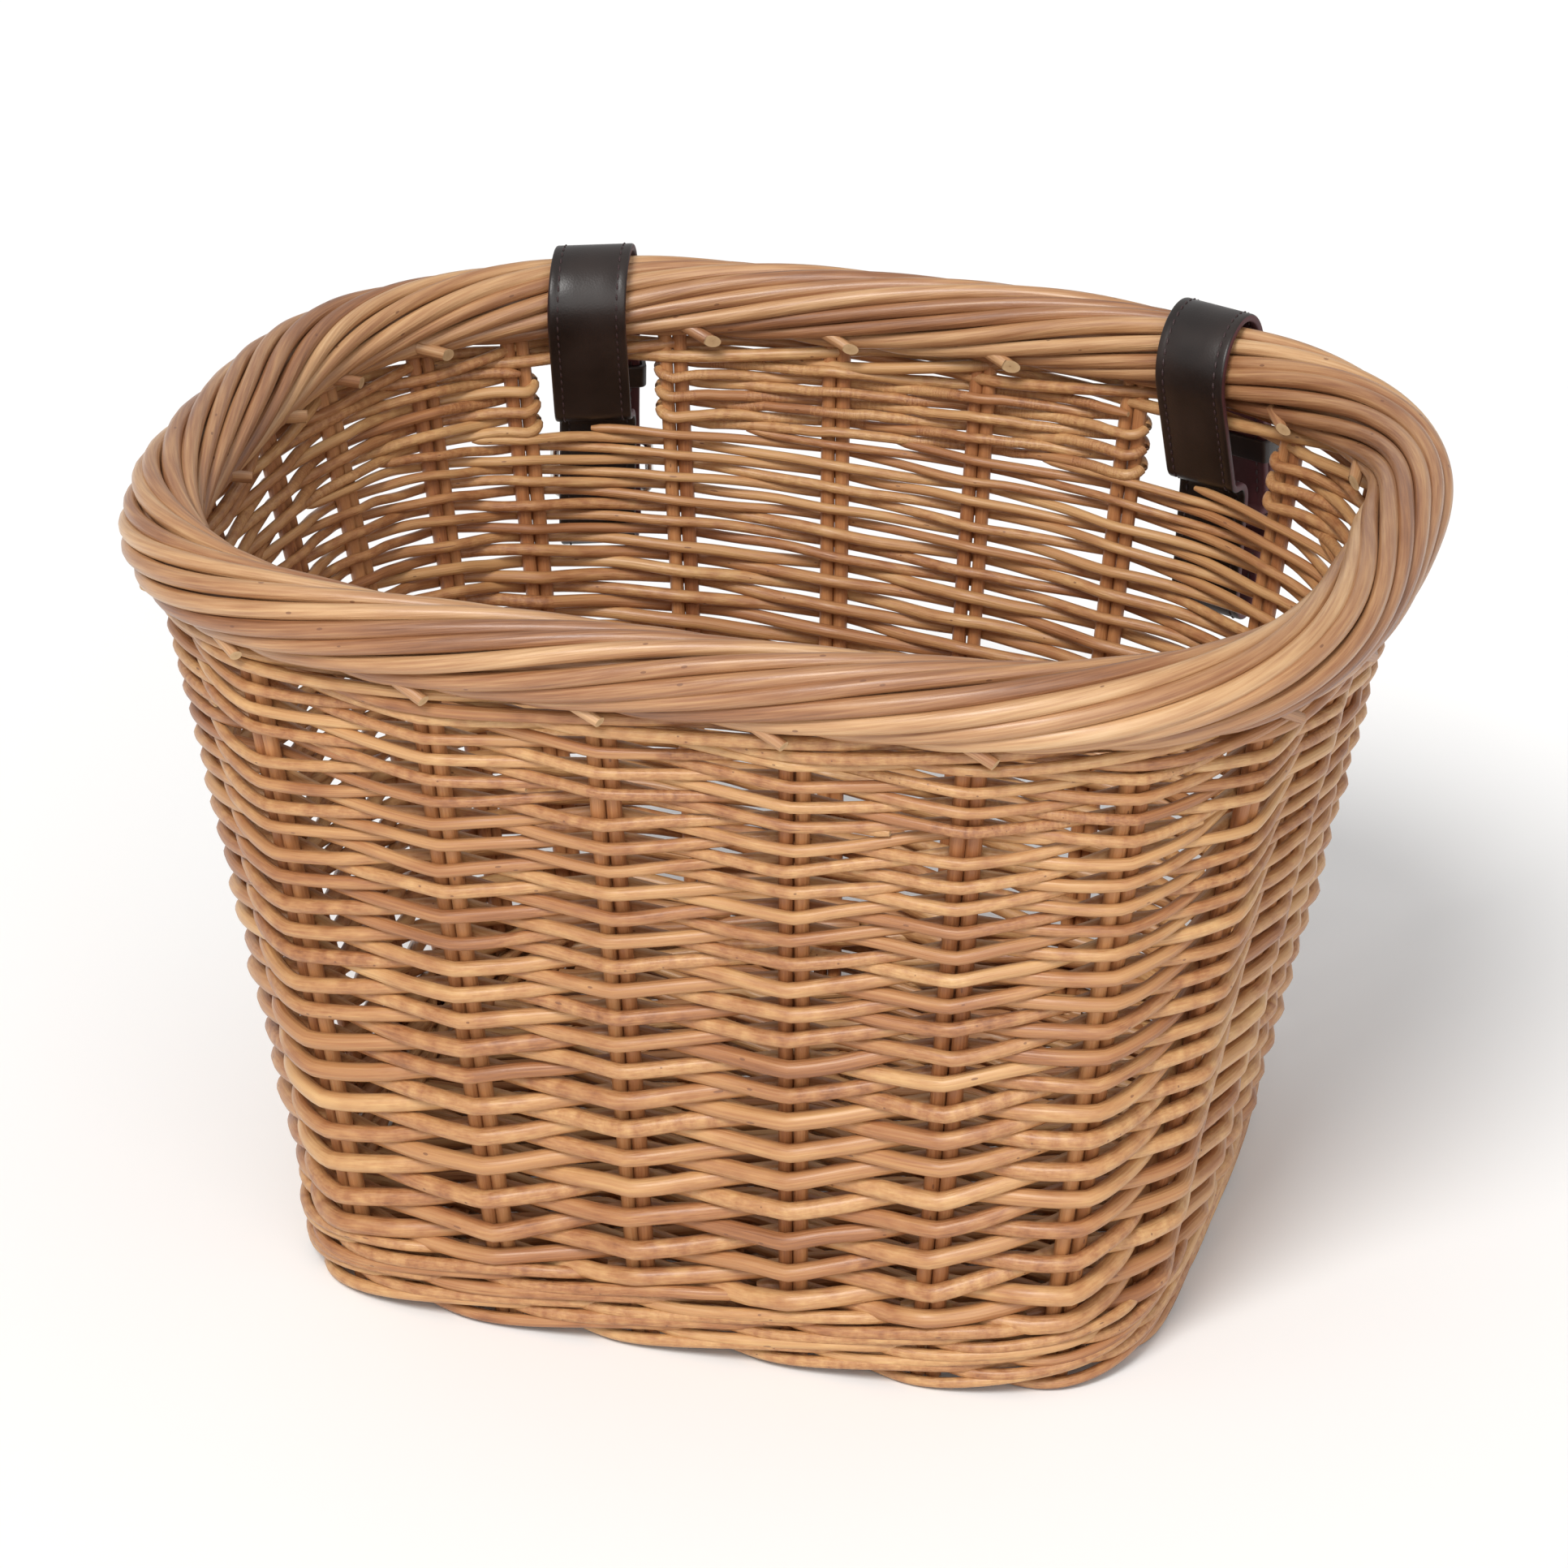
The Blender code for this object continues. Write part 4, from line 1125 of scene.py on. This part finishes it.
def make_straps():
    """Both straps with their stitching, buckle, keeper and prong."""
    for side, slot in (("left", SLOT_AFTER[1]), ("right", SLOT_AFTER[0])):
        seat = seat_matrix(side, slot)
        strap = f"{side}_strap"
        band = swept_object(f"{side}_leather_strap", [strap_part(side, seat)],
                            [OUTER_LEATHER, EDGE_LEATHER], strap, (strap,), sharp=60)
        recalculated(band)
        cut_through(band, strap_cuts(seat))
        paint_strap_sides(band, seat)
        swept_object(f"{side}_strap_stitching", stitches(side, seat), [THREAD], strap)
        buckle = f"{side}_buckle_frame"
        swept_object(f"{side}_buckle_wire", [buckle_frame(seat)], [STEEL], buckle, (buckle,))
        keeper = f"{side}_strap_keeper"
        loop = swept_object(f"{side}_keeper_loop", [keeper_band(seat)], [OUTER_LEATHER],
                            keeper, (keeper,), sharp=60)
        recalculated(loop)
        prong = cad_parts[f"{side}_buckle_prong"]
        prong.data.materials.clear()
        prong.data.materials.append(STEEL)


def make_weave():
    """Every willow piece, each with the CAD nodes that it stands for."""
    def willow_piece(name, parts, *replaced, mats=(WILLOW, CUT_END)):
        swept_object(name, parts, mats, "basket", replaced)

    weavers = [climbing_weaver(number) for number in range(STAKE_COUNT)]
    half = STAKE_COUNT // 2
    willow_piece("siding_weavers_even", weavers[:half], "lower_siding")
    willow_piece("siding_weavers_odd", weavers[half:])
    after, before = SLOT_AFTER
    willow_piece("upper_weavers_round_front", [turning_rows(after + 1, before)],
                 "upper_siding_wrap")
    willow_piece("upper_weavers_back_panel", [turning_rows(before + 1, STAKE_COUNT + after)],
                 "upper_siding_back_panel")
    willow_piece("top_wale_strands", top_wale(), "top_wale", mats=(WILLOW,))
    willow_piece("foot_wale_strands", foot_wale(), "foot_wale", mats=(WILLOW,))
    stakes = [f"stake_pair_{k + 1:02d}" for k in range(STAKE_COUNT)]
    willow_piece("stakes_and_bye_stakes", stake_rods(), *stakes, mats=(STAKE_WILLOW, CUT_END))
    strands = [border_strand(k) for k in range(BORDER_STRANDS)] + [border_core()]
    willow_piece("rolled_border_strands", strands, "border", mats=(BORDER_WILLOW, CUT_END))
    willow_piece("nipped_rod_ends", nipped_ends(), mats=(BORDER_WILLOW, CUT_END))
    sticks = [f"base_stick_{k + 1}" for k in range(len(STICK_XS))]
    willow_piece("base_sticks", base_sticks(), *sticks, mats=(STAKE_WILLOW, CUT_END))
    willow_piece("base_weavers", base_weavers(), "base_mat")


# ---- room, lights and camera ---------------------------------------------------------------
FLOOR_HALF = 6.0
AIR_LIGHT = 0.55
LAMP_COLOUR = (1.0, 0.985, 0.96)
LAMPS = (("key_light", (-0.15, -1.0, 1.20), 2.30, 22), ("fill_light", (0.55, -1.0, 0.45), 0.85, 50))


def pale_floor():
    mesh = bpy.data.meshes.new("pale_floor")
    corners = [(x * FLOOR_HALF, y * FLOOR_HALF, 0) for x, y in ((-1, -1), (1, -1), (1, 1), (-1, 1))]
    mesh.from_pydata(corners, [], [(0, 1, 2, 3)])
    floor = bpy.data.objects.new("pale_floor", mesh)
    bpy.context.collection.objects.link(floor)
    mat, tree, shader = surface("pale_floor_paint")
    place = add(tree, "ShaderNodeTexCoord").outputs["Object"]
    cloud = add(tree, "ShaderNodeTexNoise", dict(Scale=1.5, Detail=2.0), dict(Vector=place))
    tint = ramp(tree, cloud.outputs["Fac"], ((0.3, (0.88, 0.88, 0.885)), (0.7, (0.90, 0.90, 0.90))))
    tree.links.new(tint, shader.inputs["Base Color"])
    shader.inputs["Roughness"].default_value = 0.9
    mesh.materials.append(mat)


def studio():
    """Broad soft light from above the camera, and even light from all round."""
    world = bpy.data.worlds.new("studio_air")
    world.use_nodes = True
    back = world.node_tree.nodes["Background"]
    back.inputs["Color"].default_value = (1.0, 1.0, 1.0, 1.0)
    back.inputs["Strength"].default_value = AIR_LIGHT
    bpy.context.scene.world = world
    for name, way, power, spread in LAMPS:
        lamp = bpy.data.lights.new(name, "SUN")
        lamp.energy = power
        lamp.angle = math.radians(spread)
        lamp.color = LAMP_COLOUR
        light = bpy.data.objects.new(name, lamp)
        bpy.context.collection.objects.link(light)
        light.rotation_euler = Vector(way).to_track_quat("Z", "Y").to_euler()
    view = bpy.context.scene.view_settings
    view.view_transform = "Standard"
    view.look = "None"


def camera():
    """Long lens in front, right of the middle and above; slight roll and shift."""
    azimuth, elevation, roll = math.radians(15.17), math.radians(25.49), math.radians(0.49)
    aim, distance = Vector((0.0, WIDEST_Y, 0.125)), 1.8243
    back = Vector((math.sin(azimuth) * math.cos(elevation),
                   -math.cos(azimuth) * math.cos(elevation), math.sin(elevation)))
    right = Vector((math.cos(azimuth), math.sin(azimuth), 0.0))
    up = back.cross(right)
    turned_right = right * math.cos(roll) + up * math.sin(roll)
    turned_up = up * math.cos(roll) - right * math.sin(roll)
    lens = bpy.data.cameras.new("camera")
    lens.lens = 130.4
    lens.sensor_width = 36.0
    lens.shift_x, lens.shift_y = -0.0148, 0.0130
    cam = bpy.data.objects.new("camera", lens)
    bpy.context.collection.objects.link(cam)
    turn = Matrix((turned_right, turned_up, back)).transposed().to_4x4()
    cam.matrix_world = Matrix.Translation(aim + back * distance) @ turn
    bpy.context.scene.camera = cam


camera()
make_weave()
make_straps()
pale_floor()
studio()
